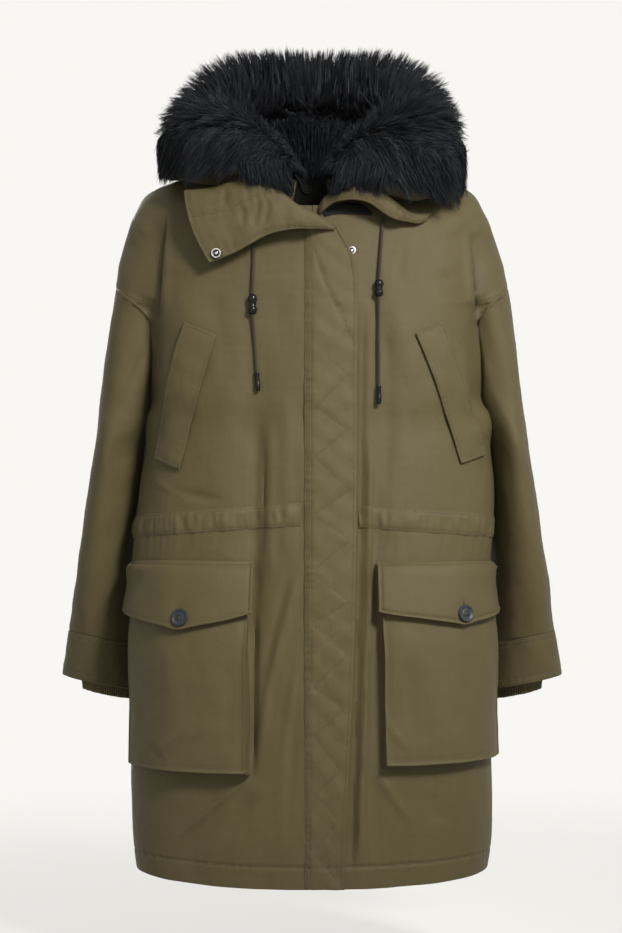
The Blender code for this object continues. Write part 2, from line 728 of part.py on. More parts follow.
def sleeve(side, name, material):
    ring = armhole_ring(side)
    first = sleeve_section(side, SLEEVE[0][0], SLEEVE_SIDES)
    rows = [ring]
    for step in range(1, CAP_ROWS + 1):
        rows.append(blend(ring, first, step / CAP_ROWS))
    for step in range(1, LOWER_ROWS + 1):
        level = blend(SLEEVE[0][0], BAND_TOP + SEAM, step / LOWER_ROWS)
        rows.append(sleeve_section(side, level, SLEEVE_SIDES))
    outer = np.array(rows)
    if side == LEFT:
        outer = outer[:, ::-1]
    inner = outer - outward(outer, around=True) * WALL
    end = sleeve_section(side, BAND_TOP + SEAM, SLEEVE_SIDES, grow=-WALL)
    inner[-1] = end[::-1] if side == LEFT else end
    return wall_between(name, outer, inner, material, around=True)


def outward(points, around):
    """Grid normals turned so that they point away from the middle of each row."""
    normals = grid_normals(points, around)
    middles = points.mean(axis=1, keepdims=True)
    if np.sum(normals * (points - middles)) < 0:
        normals = -normals
    return normals


def sleeve_band(side, name, material):
    levels = [blend(BAND_TOP, BAND_END, step / BAND_ROWS) for step in range(BAND_ROWS + 1)]
    outer = np.array([sleeve_section(side, level, SLEEVE_SIDES, grow=BAND_PROUD) for level in levels])
    inner = np.array([sleeve_section(side, level, SLEEVE_SIDES, grow=-WALL) for level in levels])
    return wall_between(name, outer, inner, material, around=True)


def knit_cuff(side, name, material):
    sides = 2 * SLEEVE_SIDES
    outer = []
    table = rows_of(CUFF_COLUMNS, CUFF)
    heights = table["z"][::-1]
    for step in range(CUFF_ROWS + 1):
        level = blend(CUFF[0][0], CUFF[-1][0], step / CUFF_ROWS)
        share = smooth(heights, table["share"][::-1], level)
        inward = smooth(heights, table["inward"][::-1], level)
        here = max(level, BAND_END)
        ring = sleeve_section(side, here, sides, -CUFF_CLEAR, share, inward)
        ring[:, 2] += level - here
        outer.append(ring)
    outer = np.array(outer)
    rib = np.array([0.0 if step % 2 else CUFF_RIB for step in range(sides)])
    normals = outward(outer, around=True)
    inner = outer - normals * CUFF_WALL
    outer = outer - normals * rib[None, :, None]
    return wall_between(name, outer, inner, material, around=True)


# ---------------------------------------------------------------- storm flap, pockets and waist


def storm_flap(material):
    """The quilted flap over the zip: sewn along one side, a little proud along its free edge."""
    places, lifts, walls = [], [], []
    for row in range(QUILT_ROWS + 1):
        level = blend(HEM + FLAP_ABOVE_HEM, FLAP_TOP, row / QUILT_ROWS)
        edge = flap_edge_at(level_at(round(level, 6))["front_z"])["x"]
        line, gaps, thick = [], [], []
        for column in range(QUILT_COLUMNS + 1):
            share = column / QUILT_COLUMNS
            line.append((girth_of_x(FRONT, blend(FLAP_SEWN_X, edge, share), level), level))
            gaps.append(blend(REST, FLAP_PROUD, share))
            # The stitched lines zigzag: puffs stand between them, on every second place.
            puffed = 0 < column < QUILT_COLUMNS and (row + column) % 2
            thick.append(FLAP_WALL + QUILT_RISE * puffed)
        places.append(line)
        lifts.append(gaps)
        walls.append(thick)
    return cloth_on_body("storm_flap", FRONT, places, lifts, walls, material)


def chest_welt(row, name, material):
    """A slanted welt: a strip between its inner and its outer edge."""
    welt = dict(zip(WELT_COLUMNS, row))
    places = []
    for step in range(WELT_ROWS + 1):
        down = step / WELT_ROWS
        inner, inner_z = (blend(welt["top_in" + end], welt["low_in" + end], down) for end in ("", "_z"))
        outer, outer_z = (blend(welt["top_out" + end], welt["low_out" + end], down) for end in ("", "_z"))
        shares = [strip / WELT_STRIPS for strip in range(WELT_STRIPS + 1)]
        line = [(welt["side"] * blend(inner, outer, s), blend(inner_z, outer_z, s)) for s in shares]
        places.append(line)
    return cloth_on_body(name, FRONT, places, WELT_REST, WELT_WALL, material)


def waist_channel(name, face, start, end, material):
    """The drawcord channel between two girths; it rises a little towards the middle of the front."""
    places = []
    if start * end < 0:
        girths = panel_girths(face, CHANNEL_SIDE, start, 0.0)[:-1]
        girths += panel_girths(face, CHANNEL_SIDE, 0.0, end)
    else:
        girths = panel_girths(face, CHANNEL_SIDE, start, end)
    for across in (-CHANNEL_HALF, 0.0, CHANNEL_HALF):
        line = []
        for girth in girths:
            share = min(1.0, abs(girth) / CHANNEL_RISE_GIRTH)
            middle = CHANNEL_SIDE if face == BACK else blend(CHANNEL_MIDDLE_FRONT, CHANNEL_SIDE, share)
            line.append((girth, middle + across))
        places.append(line)
    return cloth_on_body(name, face, places, REST, CHANNEL_WALL, material)


def pocket_bag(row, name, material):
    """A front plate on a gusset: a tray that is open to the panel and at its mouth."""
    pocket = dict(zip(POCKET_COLUMNS, row))
    low_g, high_g = pocket["inner"] + BAG_INSET, pocket["outer"] - BAG_INSET
    mouth = pocket["flap_top"] - BAG_BELOW_SEAM
    side = pocket["side"]
    middle = (mouth + pocket["bag_low"]) / 2
    girths = [abs(girth) for girth in panel_girths(FRONT, middle, side * low_g, side * high_g)]
    levels = [blend(mouth, pocket["bag_low"], step / BAG_ROWS) for step in range(BAG_ROWS + 1)]

    def skin(inset, depth, foot):
        """Rows of points: the gusset's foot on the panel, its outer edge, and the plate."""
        plate_g = [low_g + inset] + girths[1:-1] + [high_g - inset]
        plate_z = levels[:-1] + [levels[-1] + inset]
        grid = []
        for index, level in enumerate(plate_z):
            proud = blend(MOUTH_DEPTH, BAG_DEPTH, min(1.0, index / 2)) - (BAG_DEPTH - depth)
            line = [(plate_g[0], foot)]
            line += [(girth, proud) for girth in plate_g]
            line += [(plate_g[-1], foot)]
            grid.append([raised(side * girth, level, up) for girth, up in line])
        grid.append(
            [raised(side * plate_g[0], plate_z[-1], foot)]
            + [raised(side * girth, plate_z[-1], foot) for girth in plate_g]
            + [raised(side * plate_g[-1], plate_z[-1], foot)]
        )
        return np.array(grid)

    def raised(girth, level, up):
        return on_panel(FRONT, girth, level, up)

    return tray(name, skin(0.0, BAG_DEPTH, REST), skin(BAG_WALL, BAG_DEPTH - BAG_WALL, REST), material)


def tray(name, outer, inner, material):
    """Closes an open box whose last row and end columns lie on the panel and whose first row is open."""
    rows, columns = outer.shape[:2]
    bm = bmesh.new()
    skins = []
    for skin in (outer, inner):
        verts = [[bm.verts.new(point) for point in row] for row in skin]
        # The corner points of the last row stand where the end columns already do.
        verts[-1][0] = verts[-1][1]
        verts[-1][-1] = verts[-1][-2]
        skins.append(verts)
    for verts in skins:
        for row in range(rows - 1):
            for column in range(columns - 1):
                corners = [
                    verts[row][column],
                    verts[row][column + 1],
                    verts[row + 1][column + 1],
                    verts[row + 1][column],
                ]
                bm.faces.new(list(dict.fromkeys(corners)))
    edge = [(row, 0) for row in range(rows - 1)]
    edge += [(rows - 1, column) for column in range(1, columns - 1)]
    edge += [(row, columns - 1) for row in range(rows - 2, -1, -1)]
    edge += [(0, column) for column in range(columns - 2, 0, -1)]
    for index, (row, column) in enumerate(edge):
        after_row, after_column = edge[(index + 1) % len(edge)]
        corners = [
            skins[0][row][column],
            skins[0][after_row][after_column],
            skins[1][after_row][after_column],
            skins[1][row][column],
        ]
        bm.faces.new(list(dict.fromkeys(corners)))
    loose = [vert for vert in bm.verts if not vert.link_faces]
    bmesh.ops.delete(bm, geom=loose, context="VERTS")
    return close_mesh(name, bm, material)


def pocket_flap(row, name, material):
    """The flap: sewn to the panel along its top, over the bag, and pointed at the bottom."""
    pocket = dict(zip(POCKET_COLUMNS, row))
    side = pocket["side"]
    inner, point, outer = pocket["inner"], pocket["point"], pocket["outer"]
    girths = panel_girths(FRONT, pocket["flap_top"], side * inner, side * outer, (side * point,))
    rows = len(FLAP_DROP["down"]) - 1
    places, lifts = [], []
    for step in range(rows + 1):
        down, rise = FLAP_DROP["down"][step], FLAP_DROP["rise"][step]
        line = []
        for girth in girths:
            away = abs(girth)
            share = (away - inner) / (point - inner) if away < point else (outer - away) / (outer - point)
            low = blend(pocket["flap_low"], pocket["flap_point"], share)
            line.append((girth, blend(pocket["flap_top"], low, down)))
        places.append(line)
        lifts.append([REST + rise] * len(girths))
    return cloth_on_body(name, FRONT, places, lifts, WALL, material)


def on_flap(row, down):
    """A point down the middle of a pocket flap's outer face, and the way the flap faces there."""
    pocket = dict(zip(POCKET_COLUMNS, row))

    def read(across, down):
        level = blend(pocket["flap_top"], pocket["flap_point"], down)
        rise = float(np.interp(down, FLAP_DROP["down"], FLAP_DROP["rise"]))
        return on_panel(FRONT, pocket["side"] * (pocket["point"] + across), level, REST + rise + WALL)

    across = read(0.01, down) - read(-0.01, down)
    facing = unit(np.cross(across, read(0.0, down + 0.1) - read(0.0, down - 0.1)))
    return read(0.0, down), facing if facing[1] < 0 else -facing


# ---------------------------------------------------------------- hood, fur and collar


@functools.lru_cache(maxsize=None)
def panel_facets():
    """The outer facets of both panels, for finding the height of the shoulders."""
    points, faces = [], []
    for face, side in ((FRONT, RIGHT), (FRONT, LEFT), (BACK, RIGHT), (BACK, LEFT)):
        grid = half_panel(face, side)[0]
        rows, columns = grid.shape[:2]
        for row in range(rows - 1):
            for column in range(columns - 1):
                low = len(points) + row * columns + column
                faces.append((low, low + 1, low + columns + 1, low + columns))
        points += [tuple(point) for point in grid.reshape(-1, 3)]
    return BVHTree.FromPolygons(points, faces)


def shoulder_height(x, y):
    """Height of the shoulders at a place, of the neckline beside it, or far down outside both."""
    neck = level_at(NECK_SIDE)
    depth = neck["front"] if y < 0 else neck["back"]
    spread = (abs(x) / neck["half_width"]) ** FULLNESS + (abs(y) / depth) ** FULLNESS
    if spread < NECK_MARGIN:
        away = (NECK_MARGIN / max(spread, 1e-9)) ** (1 / FULLNESS)
        x, y = x * away, y * away
    hit = panel_facets().ray_cast((x, y, 1.0), (0, 0, -1))[0]
    return hit[2] if hit else NO_SHOULDER


@functools.lru_cache(maxsize=None)
def clear_height(bearing, reach):
    """The most height of the shoulders about a place, so that the facets over them stay clear."""
    spacing = (FUR[-1][0] - FUR[0][0]) / FUR_SECTIONS
    heights = []
    for beside in (-0.5, 0.0, 0.5):
        angle = math.radians(bearing + beside * spacing)
        for away in (reach - REACH_BESIDE, reach, reach + REACH_BESIDE):
            x, y = away * math.sin(angle), HOOD_AXIS_Y + away * math.cos(angle)
            heights.append(shoulder_height(x, y))
    return max(heights)


def fur_turns(bearing):
    """The turns of a section's points: from the foot of the hood's cloth to its rim, then over the top."""
    here = hood_at(bearing)
    foot, rim = here["foot"], here["rim"]
    turns = [blend(foot, rim, step / SHELL_ROWS) for step in range(SHELL_ROWS + 1)]
    return turns + [blend(rim, foot + 360, step / FREE_ROWS) for step in range(1, FREE_ROWS)]


def fur_point(bearing, turn, grow=0.0):
    """A point of a fur section. Turn runs from its outermost point up over its top, in degrees."""
    here = fur_at(bearing)
    across, up = math.cos(math.radians(turn)), math.sin(math.radians(turn))
    across = math.copysign(abs(across) ** FUR_SQUARENESS, across)
    up = math.copysign(abs(up) ** FUR_SQUARENESS, up)
    half_reach = (here["outer"] - here["inner"]) / 2
    half_height = (here["top"] - here["low"]) / 2
    middle = (here["outer"] + here["inner"]) / 2
    reach = middle + (half_reach + grow) * across
    floor = clear_height(bearing, middle + half_reach * across) + SHELL_CLEAR + WALL + SEAM
    z = (here["top"] + here["low"]) / 2 + (half_height + grow) * up
    angle = math.radians(bearing)
    x, y = reach * math.sin(angle), HOOD_AXIS_Y + reach * math.cos(angle)
    return np.array([x, y, max(z, floor - grow)])


def fur_bearings():
    return [blend(FUR[0][0], FUR[-1][0], step / FUR_SECTIONS) for step in range(FUR_SECTIONS + 1)]


def hood_fur(material):
    """The fur as a thick roll round the neck, open at the front and closed at both its ends."""
    bm = bmesh.new()
    rings = []
    for bearing in fur_bearings():
        rings.append([bm.verts.new(fur_point(bearing, turn)) for turn in fur_turns(bearing)])
    sides = len(rings[0])
    for ring, after in zip(rings, rings[1:]):
        for index in range(sides):
            beside = (index + 1) % sides
            bm.faces.new((ring[index], ring[beside], after[beside], after[index]))
    for ring in (rings[0], rings[-1]):
        middle = bm.verts.new(np.mean([vert.co for vert in ring], axis=0))
        for index in range(sides):
            bm.faces.new((ring[index], ring[(index + 1) % sides], middle))
    return close_mesh("hood_fur", bm, material, 60)


def neckline(bearing):
    """The neckline of the panels at a bearing from the hood's axis."""
    rows = [half_panel(FRONT, RIGHT)[0][-1], half_panel(BACK, RIGHT)[0][-1][::-1]]
    rows += [half_panel(BACK, LEFT)[0][-1], half_panel(FRONT, LEFT)[0][-1][::-1]]
    points = np.concatenate(rows)
    bearings = np.degrees(np.arctan2(points[:, 0], points[:, 1] - HOOD_AXIS_Y))
    bearings[0], bearings[-1] = -180.0, 180.0
    return np.array([np.interp(bearing, bearings, points[:, axis]) for axis in range(3)])


def hood_shell(material):
    """The hood's cloth: a wall that stands on the neckline and lies close to the fur up to its rim."""
    skins = []
    for grow, inward in ((SEAM + WALL, 0.0), (SEAM, WALL)):
        grid = []
        for bearing in fur_bearings():
            foot = neckline(bearing)
            towards = unit((-foot[0], HOOD_AXIS_Y - foot[1], 0.0))
            line = [foot + towards * inward + np.array([0.0, 0.0, SEAM * 2])]
            covered = fur_turns(bearing)[: SHELL_ROWS + 1]
            line += [fur_point(bearing, turn, grow) for turn in covered]
            grid.append(line)
        skins.append(np.array(grid))
    return wall_between("hood_shell", skins[0], skins[1], material)


def collar_wing(name, stations, material):
    """A wing of the collar: it hangs from its upper edge, which returns to the rear under the fur."""
    outer = []
    for row in stations:
        station = dict(zip(WING_COLUMNS, row))
        top = np.array([station["top_x"], station["top_y"], station["top_z"]])
        low = np.array([station["low_x"], station["low_y"], station["low_z"]])
        curl = WING_CURL * min(1.0, (top - low)[2] / WING_CURL_HEIGHT)
        out = np.array([station["bow"], -curl, 0.0])
        line = [blend(low, top, share) + out * 4 * share * (1 - share) for share in WING_SHARES]
        line += [top + np.array([0.0, station["back"] * share, rise]) for share, rise in WING_RETURN]
        outer.append(line)
    outer = np.array(outer)
    normals = grid_normals(outer)
    if normals[:, 0, 1].mean() > 0:
        normals = -normals
    wall_between(name, outer, outer - normals * WING_WALL, material)
    return outer, normals


def back_neck_facing(material):
    """The facing inside the back of the neck."""
    shares = [step / FACING_SPANS for step in range(FACING_SPANS + 1)]
    girths = [blend(-FACING_REACH, FACING_REACH, share) for share in shares]
    places = [[(girth, level) for girth in girths] for level in FACING_LEVELS]
    lift = -(WALL + REST + FACING_WALL)
    return cloth_on_body("back_neck_facing", BACK, places, lift, FACING_WALL, material)


# ---------------------------------------------------------------- cords


def tube(name, points, diameter, material):
    """A round cord on a smooth curve through its points, with a point every two to three diameters."""
    points = np.array(points, float)
    length = np.concatenate([[0], np.cumsum(np.linalg.norm(np.diff(points, axis=0), axis=1))])
    count = max(3, int(length[-1] / (CORD_STEP * diameter)))
    curve = bpy.data.curves.new(name, "CURVE")
    curve.dimensions = "3D"
    curve.bevel_depth = diameter / 2
    curve.bevel_resolution = 2
    curve.use_fill_caps = True
    spline = curve.splines.new("POLY")
    spline.points.add(count - 1)
    for index in range(count):
        at = length[-1] * index / (count - 1)
        place = [smooth(list(length), list(points[:, axis]), at) for axis in range(3)]
        spline.points[index].co = (*place, 1.0)
    return add_object(name, curve, material)


def along_cord(name, start, end, profile, size, material, sides=TURNED_SIDES):
    """A turned piece on a cord: rings of (share of the way, share of its size), with flat ends."""
    start, end = np.array(start), np.array(end)
    facing = unit(end - start)
    across = unit(np.cross(facing, (0, 1, 0)))
    deep = np.cross(facing, across)
    bm = bmesh.new()
    rings = []
    for share, part in profile:
        radius = size * part
        ring = []
        for index in range(sides):
            angle = 2 * math.pi * index / sides
            offset = across * math.cos(angle) * radius + deep * math.sin(angle) * radius
            ring.append(bm.verts.new(blend(start, end, share) + offset))
        rings.append(ring)
    for ring, after in zip(rings, rings[1:]):
        for index in range(sides):
            beside = (index + 1) % sides
            bm.faces.new((ring[index], ring[beside], after[beside], after[index]))
    bm.faces.new(rings[0])
    bm.faces.new(rings[-1])
    return close_mesh(name, bm, material, 35)


def drawcord(word, points, cord_material, plastic):
    """A hood drawcord in two runs, with its stopper between them and its tip below."""
    stop_start, stop_end = np.array(points[STOPPER_AT]), np.array(points[STOPPER_AT + 1])
    facing = unit(stop_end - stop_start)
    upper = [*points[:STOPPER_AT], stop_start - facing * SEAM]
    tube(word + "_drawcord_upper", upper, CORD_DIAMETER, cord_material)
    lower = [stop_end + facing * SEAM, *points[STOPPER_AT + 2 :]]
    tube(word + "_drawcord_lower", lower, CORD_DIAMETER, cord_material)
    along_cord(word + "_stopper", stop_start, stop_end, STOPPER_PROFILE, STOPPER_RADIUS, plastic)
    last = np.array(points[-1])
    hang = unit(last - np.array(points[-2]))
    tip_start = last + hang * SEAM
    tip_end = tip_start + hang * TIP_LENGTH
    along_cord(word + "_cord_tip", tip_start, tip_end, TIP_PROFILE, TIP_RADIUS, plastic)


# ---------------------------------------------------------------- small round pieces


def disc(name, place, facing, radius, thick, material):
    """A round button or snap with an eased edge, lying at a place and facing a direction."""
    bm = bmesh.new()
    bmesh.ops.create_cone(
        bm, cap_ends=True, segments=DISC_SIDES, radius1=radius, radius2=radius, depth=thick
    )
    rim = [edge for edge in bm.edges if abs(edge.verts[0].co.z - edge.verts[1].co.z) < 1e-6]
    bmesh.ops.bevel(bm, geom=rim, offset=thick * DISC_EASE, segments=1, affect="EDGES")
    facing = unit(facing)
    side = unit(np.cross((0, 0, 1), facing))
    up = np.cross(facing, side)
    for vert in bm.verts:
        local = np.array(vert.co)
        vert.co = place + side * local[0] + up * local[1] + facing * (local[2] + thick / 2)
    return close_mesh(name, bm, material, 30)


def make_material(name, colour, roughness, metallic=0.0):
    material = bpy.data.materials.new(name)
    material.use_nodes = True
    shader = material.node_tree.nodes["Principled BSDF"]
    shader.inputs["Base Color"].default_value = (*colour, 1.0)
    shader.inputs["Roughness"].default_value = roughness
    shader.inputs["Metallic"].default_value = metallic
    return material


# ---------------------------------------------------------------- build


for old in list(bpy.data.objects):
    bpy.data.objects.remove(old)
collection = bpy.data.collections.new("fur_trimmed_parka")
bpy.context.scene.collection.children.link(collection)

olive = make_material("olive twill", OLIVE, 0.62)

panel("right_front", FRONT, (RIGHT,), olive)
panel("left_front", FRONT, (LEFT,), olive)
panel("back", BACK, (RIGHT, LEFT), olive)
for side, word in ((RIGHT, "right"), (LEFT, "left")):
    sleeve(side, word + "_sleeve", olive)
    sleeve_band(side, word + "_sleeve_band", olive)
    knit_cuff(side, word + "_knit_cuff", make_material(word + " rib", RIB_OLIVE, 0.85))
storm_flap(olive)
for row, word in zip(WELTS, ("right", "left")):
    chest_welt(row, word + "_chest_welt", olive)
for row, word in zip(POCKETS, ("right", "left")):
    pocket_bag(row, word + "_pocket_bag", olive)
    pocket_flap(row, word + "_pocket_flap", olive)
seam_girth = girth_to_end(FRONT, CHANNEL_SIDE) - SEAM
waist_channel("right_waist_channel", FRONT, CHANNEL_RIGHT_START, -seam_girth, olive)
waist_channel("left_waist_channel", FRONT, CHANNEL_LEFT_START, seam_girth, olive)
back_girth = girth_to_end(BACK, CHANNEL_SIDE) - SEAM
waist_channel("back_waist_channel", BACK, -back_girth, back_girth, olive)
plastic = make_material("black plastic", BLACK, 0.3)
slate = make_material("slate button", BUTTON_SLATE, 0.45)
snap_metal = make_material("snap metal", SILVER, 0.35, 1.0)
fur = make_material("black fur", FUR_BLACK, 0.7)
cord = make_material("olive cord", OLIVE_DARK, 0.8)

hood_fur(fur)
hood_shell(olive)
wing_points, wing_normals = collar_wing("right_collar_wing", RIGHT_WING, olive)
collar_wing("left_collar_wing", LEFT_WING, olive)
back_neck_facing(olive)

snap_place = blend(wing_points[0, 0], wing_points[1, 1], SNAP_SHARE)
snap_facing = unit(blend(wing_normals[0, 0], wing_normals[1, 1], SNAP_SHARE))
snap_place = snap_place + snap_facing * SNAP_CLEAR
disc("collar_snap", snap_place, snap_facing, SNAP_RADIUS, SNAP_THICK, snap_metal)
edge_girth = girth_of_x(FRONT, EDGE_SNAP_X, EDGE_SNAP_LEVEL)
edge_place = on_panel(FRONT, edge_girth, EDGE_SNAP_LEVEL, SEAM)
edge_facing = unit(on_panel(FRONT, edge_girth, EDGE_SNAP_LEVEL, 0.01) - edge_place)
disc("edge_snap", edge_place, edge_facing, EDGE_SNAP_RADIUS, EDGE_SNAP_THICK, snap_metal)

for row, word in zip(POCKETS, ("right", "left")):
    place, facing = on_flap(row, BUTTON_DOWN)
    place = place + facing * BUTTON_CLEAR
    disc(word + "_pocket_button", place, facing, BUTTON_RADIUS, BUTTON_THICK, slate)

drawcord("right", RIGHT_CORD, cord, plastic)
drawcord("left", LEFT_CORD, cord, plastic)

inside = -(WALL + REST + FACING_WALL + SEAM + LOOP_DIAMETER / 2)
loop = [on_panel(BACK, x, level, inside) for x, level in HANG_LOOP]
tube("hang_loop", loop, LOOP_DIAMETER, cord)
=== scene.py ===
"""Looks of the fur trimmed parka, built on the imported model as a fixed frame.

Every cloth piece is a dense sheet read from its solid's own points by a smooth spline, with creases,
seams and puckers moved in along its normals. Lengths are in metres in the frame of the model.
"""

import math

import bpy
import numpy as np
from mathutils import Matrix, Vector
from mathutils.bvhtree import BVHTree
from mathutils.kdtree import KDTree


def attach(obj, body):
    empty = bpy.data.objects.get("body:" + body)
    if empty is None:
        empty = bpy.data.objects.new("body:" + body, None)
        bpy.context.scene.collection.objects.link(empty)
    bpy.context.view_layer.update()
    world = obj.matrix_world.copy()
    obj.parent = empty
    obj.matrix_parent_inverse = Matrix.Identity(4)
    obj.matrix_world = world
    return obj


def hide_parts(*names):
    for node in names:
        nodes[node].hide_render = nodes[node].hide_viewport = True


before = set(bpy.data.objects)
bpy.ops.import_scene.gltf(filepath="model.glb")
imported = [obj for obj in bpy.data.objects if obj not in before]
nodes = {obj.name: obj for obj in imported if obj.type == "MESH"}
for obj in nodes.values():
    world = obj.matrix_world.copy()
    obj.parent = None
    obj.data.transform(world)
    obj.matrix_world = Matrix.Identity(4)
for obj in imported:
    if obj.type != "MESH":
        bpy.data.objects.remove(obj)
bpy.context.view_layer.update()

SIDES = (("right", -1), ("left", 1))
CELL = 0.0038  # of the sleeves' cloth
FRONT_CELL, BACK_CELL = 0.0032, 0.0045
TAU = 2 * math.pi
FORWARD, REARWARD = (0, -1, 0), (0, 1, 0)
X_WAY, Z_WAY = np.array([1.0, 0.0, 0.0]), np.array([0.0, 0.0, 1.0])

# ---------------------------------------------------------------- reading the solids


def welded(node):
    """A node's points with their doubles merged, and its triangles."""
    mesh = nodes[node].data
    mesh.calc_loop_triangles()
    points = np.zeros(len(mesh.vertices) * 3, np.float32)
    mesh.vertices.foreach_get("co", points)
    triangles = np.zeros(len(mesh.loop_triangles) * 3, np.int32)
    mesh.loop_triangles.foreach_get("vertices", triangles)
    rounded = np.round(points.reshape(-1, 3).astype(float), 5)
    points, index = np.unique(rounded, axis=0, return_inverse=True)
    return points, index.reshape(-1)[triangles.reshape(-1, 3)]


def edges_of(triangles):
    near = {}
    for tri in triangles:
        for a, b in zip(tri, (*tri[1:], tri[0])):
            near.setdefault(a, set()).add(b)
            near.setdefault(b, set()).add(a)
    return near


def hops(near, start):
    """How many edges lie between each point and the nearest of those it starts from."""
    away = {point: 0 for point in start}
    front = list(start)
    while front:
        after = []
        for point in front:
            for other in near[point]:
                if other not in away:
                    away[other] = away[point] + 1
                    after.append(other)
        front = after
    return away


def rims_of(triangles):
    """The closed loops of a skin's free edge, in its own turning direction."""
    halves = {(a, b) for tri in triangles for a, b in zip(tri, (*tri[1:], tri[0]))}
    after = {a: b for a, b in halves if (b, a) not in halves}
    loops = []
    while after:
        point = min(after)
        loop = []
        while point in after:
            loop.append(point)
            point = after.pop(point)
        loops.append(loop)
    return loops


def outer_skin(node, wall, facing):
    """The triangles of a wall's outer skin: the one further along a direction, or from the middle."""
    points, triangles = welded(node)
    ends = points[np.roll(triangles, -1, axis=1)]
    rim = (np.linalg.norm(points[triangles] - ends, axis=2) < wall).any(axis=1)
    keep = [tuple(int(v) for v in tri) for tri in triangles[~rim]]
    near = edges_of(keep)
    left, skins = set(near), []
    while left:
        part = set(hops(near, [min(left)]))
        left -= part
        skins.append([tri for tri in keep if tri[0] in part])
    middle = points.mean(axis=0)

    def out(skin):
        at = points[[v for tri in skin for v in tri]]
        if facing is None:
            return np.linalg.norm((at - middle)[:, :2], axis=1).mean()
        return (at @ np.array(facing)).mean()

    return points, max(sorted(skins, key=len)[-2:], key=out)


def open_grid(node, wall, rows, columns, first, facing):
    """The outer points of a sheet as rows and columns. The first of them is the corner nearest first."""
    points, skin = outer_skin(node, wall, facing)
    near = edges_of(skin)
    loop = max(rims_of(skin), key=len)
    found = []
    for start in range(len(loop)):
        ring = loop[start:] + loop[:start]
        last = len(ring) - rows + 1
        down, across = hops(near, ring[:columns]), hops(near, [ring[0], *ring[last:]])
        grid = np.full((rows, columns, 3), np.nan)
        for point in near:
            if down[point] < rows and across[point] < columns:
                grid[down[point], across[point]] = points[point]
        if not np.isnan(grid).any():
            found += [grid, grid[::-1, ::-1]]
    if not found:
        raise ValueError(f"{node} isn't a grid of {rows} by {columns}")
    return min(found, key=lambda grid: np.linalg.norm(grid[0, 0] - np.array(first)))


def ring_grid(node, wall):
    """The outer points of a tube as rings, from its top. Each ring starts where the last one did."""
    points, skin = outer_skin(node, wall, None)
    near = edges_of(skin)
    loops = sorted(rims_of(skin), key=lambda loop: points[loop][:, 2].mean())
    return ordered_rings(points, near, hops(near, loops[-1]))


def capped_grid(node, rings):
    """The points of a closed roll as rings, from its right end. A fan at one ring point closes each end."""
    points, triangles = welded(node)
    skin = [tuple(int(v) for v in tri) for tri in triangles]
    near = edges_of(skin)
    hub = min(sorted(near, key=lambda v: -len(near[v]))[:2], key=lambda v: points[v][0])
    size = len(near) // rings
    for beside in sorted(near[hub]):
        for other in sorted(near[hub] & near[beside]):
            first = {hub, *near[hub]} - {beside, other}
            away = hops(near, sorted(first))
            counts = [list(away.values()).count(row) for row in range(max(away.values()) + 1)]
            if counts == [size] * rings:
                sides = [tri for tri in skin if len({away[v] for v in tri}) > 1]
                return ordered_rings(points, edges_of(sides), away)
    raise ValueError(f"{node} has no rings")


def ordered_rings(points, near, away):
    rings = []
    for row in range(max(away.values()) + 1):
        here = {v for v in away if away[v] == row}
        if rings:
            point = min(here, key=lambda v: np.linalg.norm(points[v] - rings[-1][0]))
        else:
            point = min(here, key=lambda v: -points[v][0])
        ring = [point]
        while len(ring) < len(here):
            options = [v for v in near[ring[-1]] if v in here and v not in ring]
            if len(ring) == 1 and rings:
                ahead = rings[-1][1] - rings[-1][0]
                options.sort(key=lambda v: -float((points[v] - points[point]) @ ahead))
            ring.append(options[0])
        rings.append(points[ring])
    grid = np.array(rings)
    for row in range(1, len(grid)):
        shifts = [np.roll(grid[row], shift, axis=0) for shift in range(len(grid[row]))]
        grid[row] = min(shifts, key=lambda ring: float(((ring - grid[row - 1]) ** 2).sum()))
    return grid


# ---------------------------------------------------------------- smooth sheets


def spline_weights(knots, at):
    """Weights that read a natural cubic spline through knots at places."""
    count, gaps = len(knots), np.diff(knots)
    left, right = np.eye(count), np.zeros((count, count))
    for i in range(1, count - 1):
        a, b = gaps[i - 1], gaps[i]
        left[i, i - 1 : i + 2] = (a / 6, (a + b) / 3, b / 6)
        right[i, i - 1 : i + 2] = (1 / a, -1 / a - 1 / b, 1 / b)
    bends = np.linalg.solve(left, right)
    i = np.clip(np.searchsorted(knots, at, side="right") - 1, 0, count - 2)
    span = gaps[i]
    high = (at - knots[i]) / span
    low = 1 - high
    weights = np.zeros((len(at), count))
    weights[np.arange(len(at)), i] += low
    weights[np.arange(len(at)), i + 1] += high
    weights += ((low**3 - low) * span**2 / 6)[:, None] * bends[i]
    weights += ((high**3 - high) * span**2 / 6)[:, None] * bends[i + 1]
    return weights


def marks(length, step, fine, close):
    """Places along a length: closer in the fine zones (low, high, step), and those given from its ends."""
    places, at = [], 0.0
    while at < length - 1e-9:
        places.append(at)
        at += min([step] + [s for low, high, s in fine if low - step / 2 <= at < high])
    places = [place for place in places if place < length - step * 0.3] + [length]
    places = [0.0, *close] + [place for place in places if place > close[-1] * 1.5]
    places = [place for place in places if place < length - close[-1] * 1.5]
    return np.array(places + [length - place for place in (0.0, *close)[::-1]])


def unit(vectors):
    return vectors / np.maximum(np.linalg.norm(vectors, axis=-1, keepdims=True), 1e-12)


def eased(values):
    values = np.clip(values, 0, 1)
    return values * values * (3 - 2 * values)


def bell(away, width):
    return np.exp(-((away / width) ** 2))


def run_of(line):
    """How far along a line each of its points is."""
    return np.concatenate([[0], np.cumsum(np.linalg.norm(np.diff(line, axis=0), axis=1))])


def read_line(at, run, line):
    """The places of a line at distances along it."""
    return np.stack([np.interp(at, run, values) for values in line.T], axis=-1)


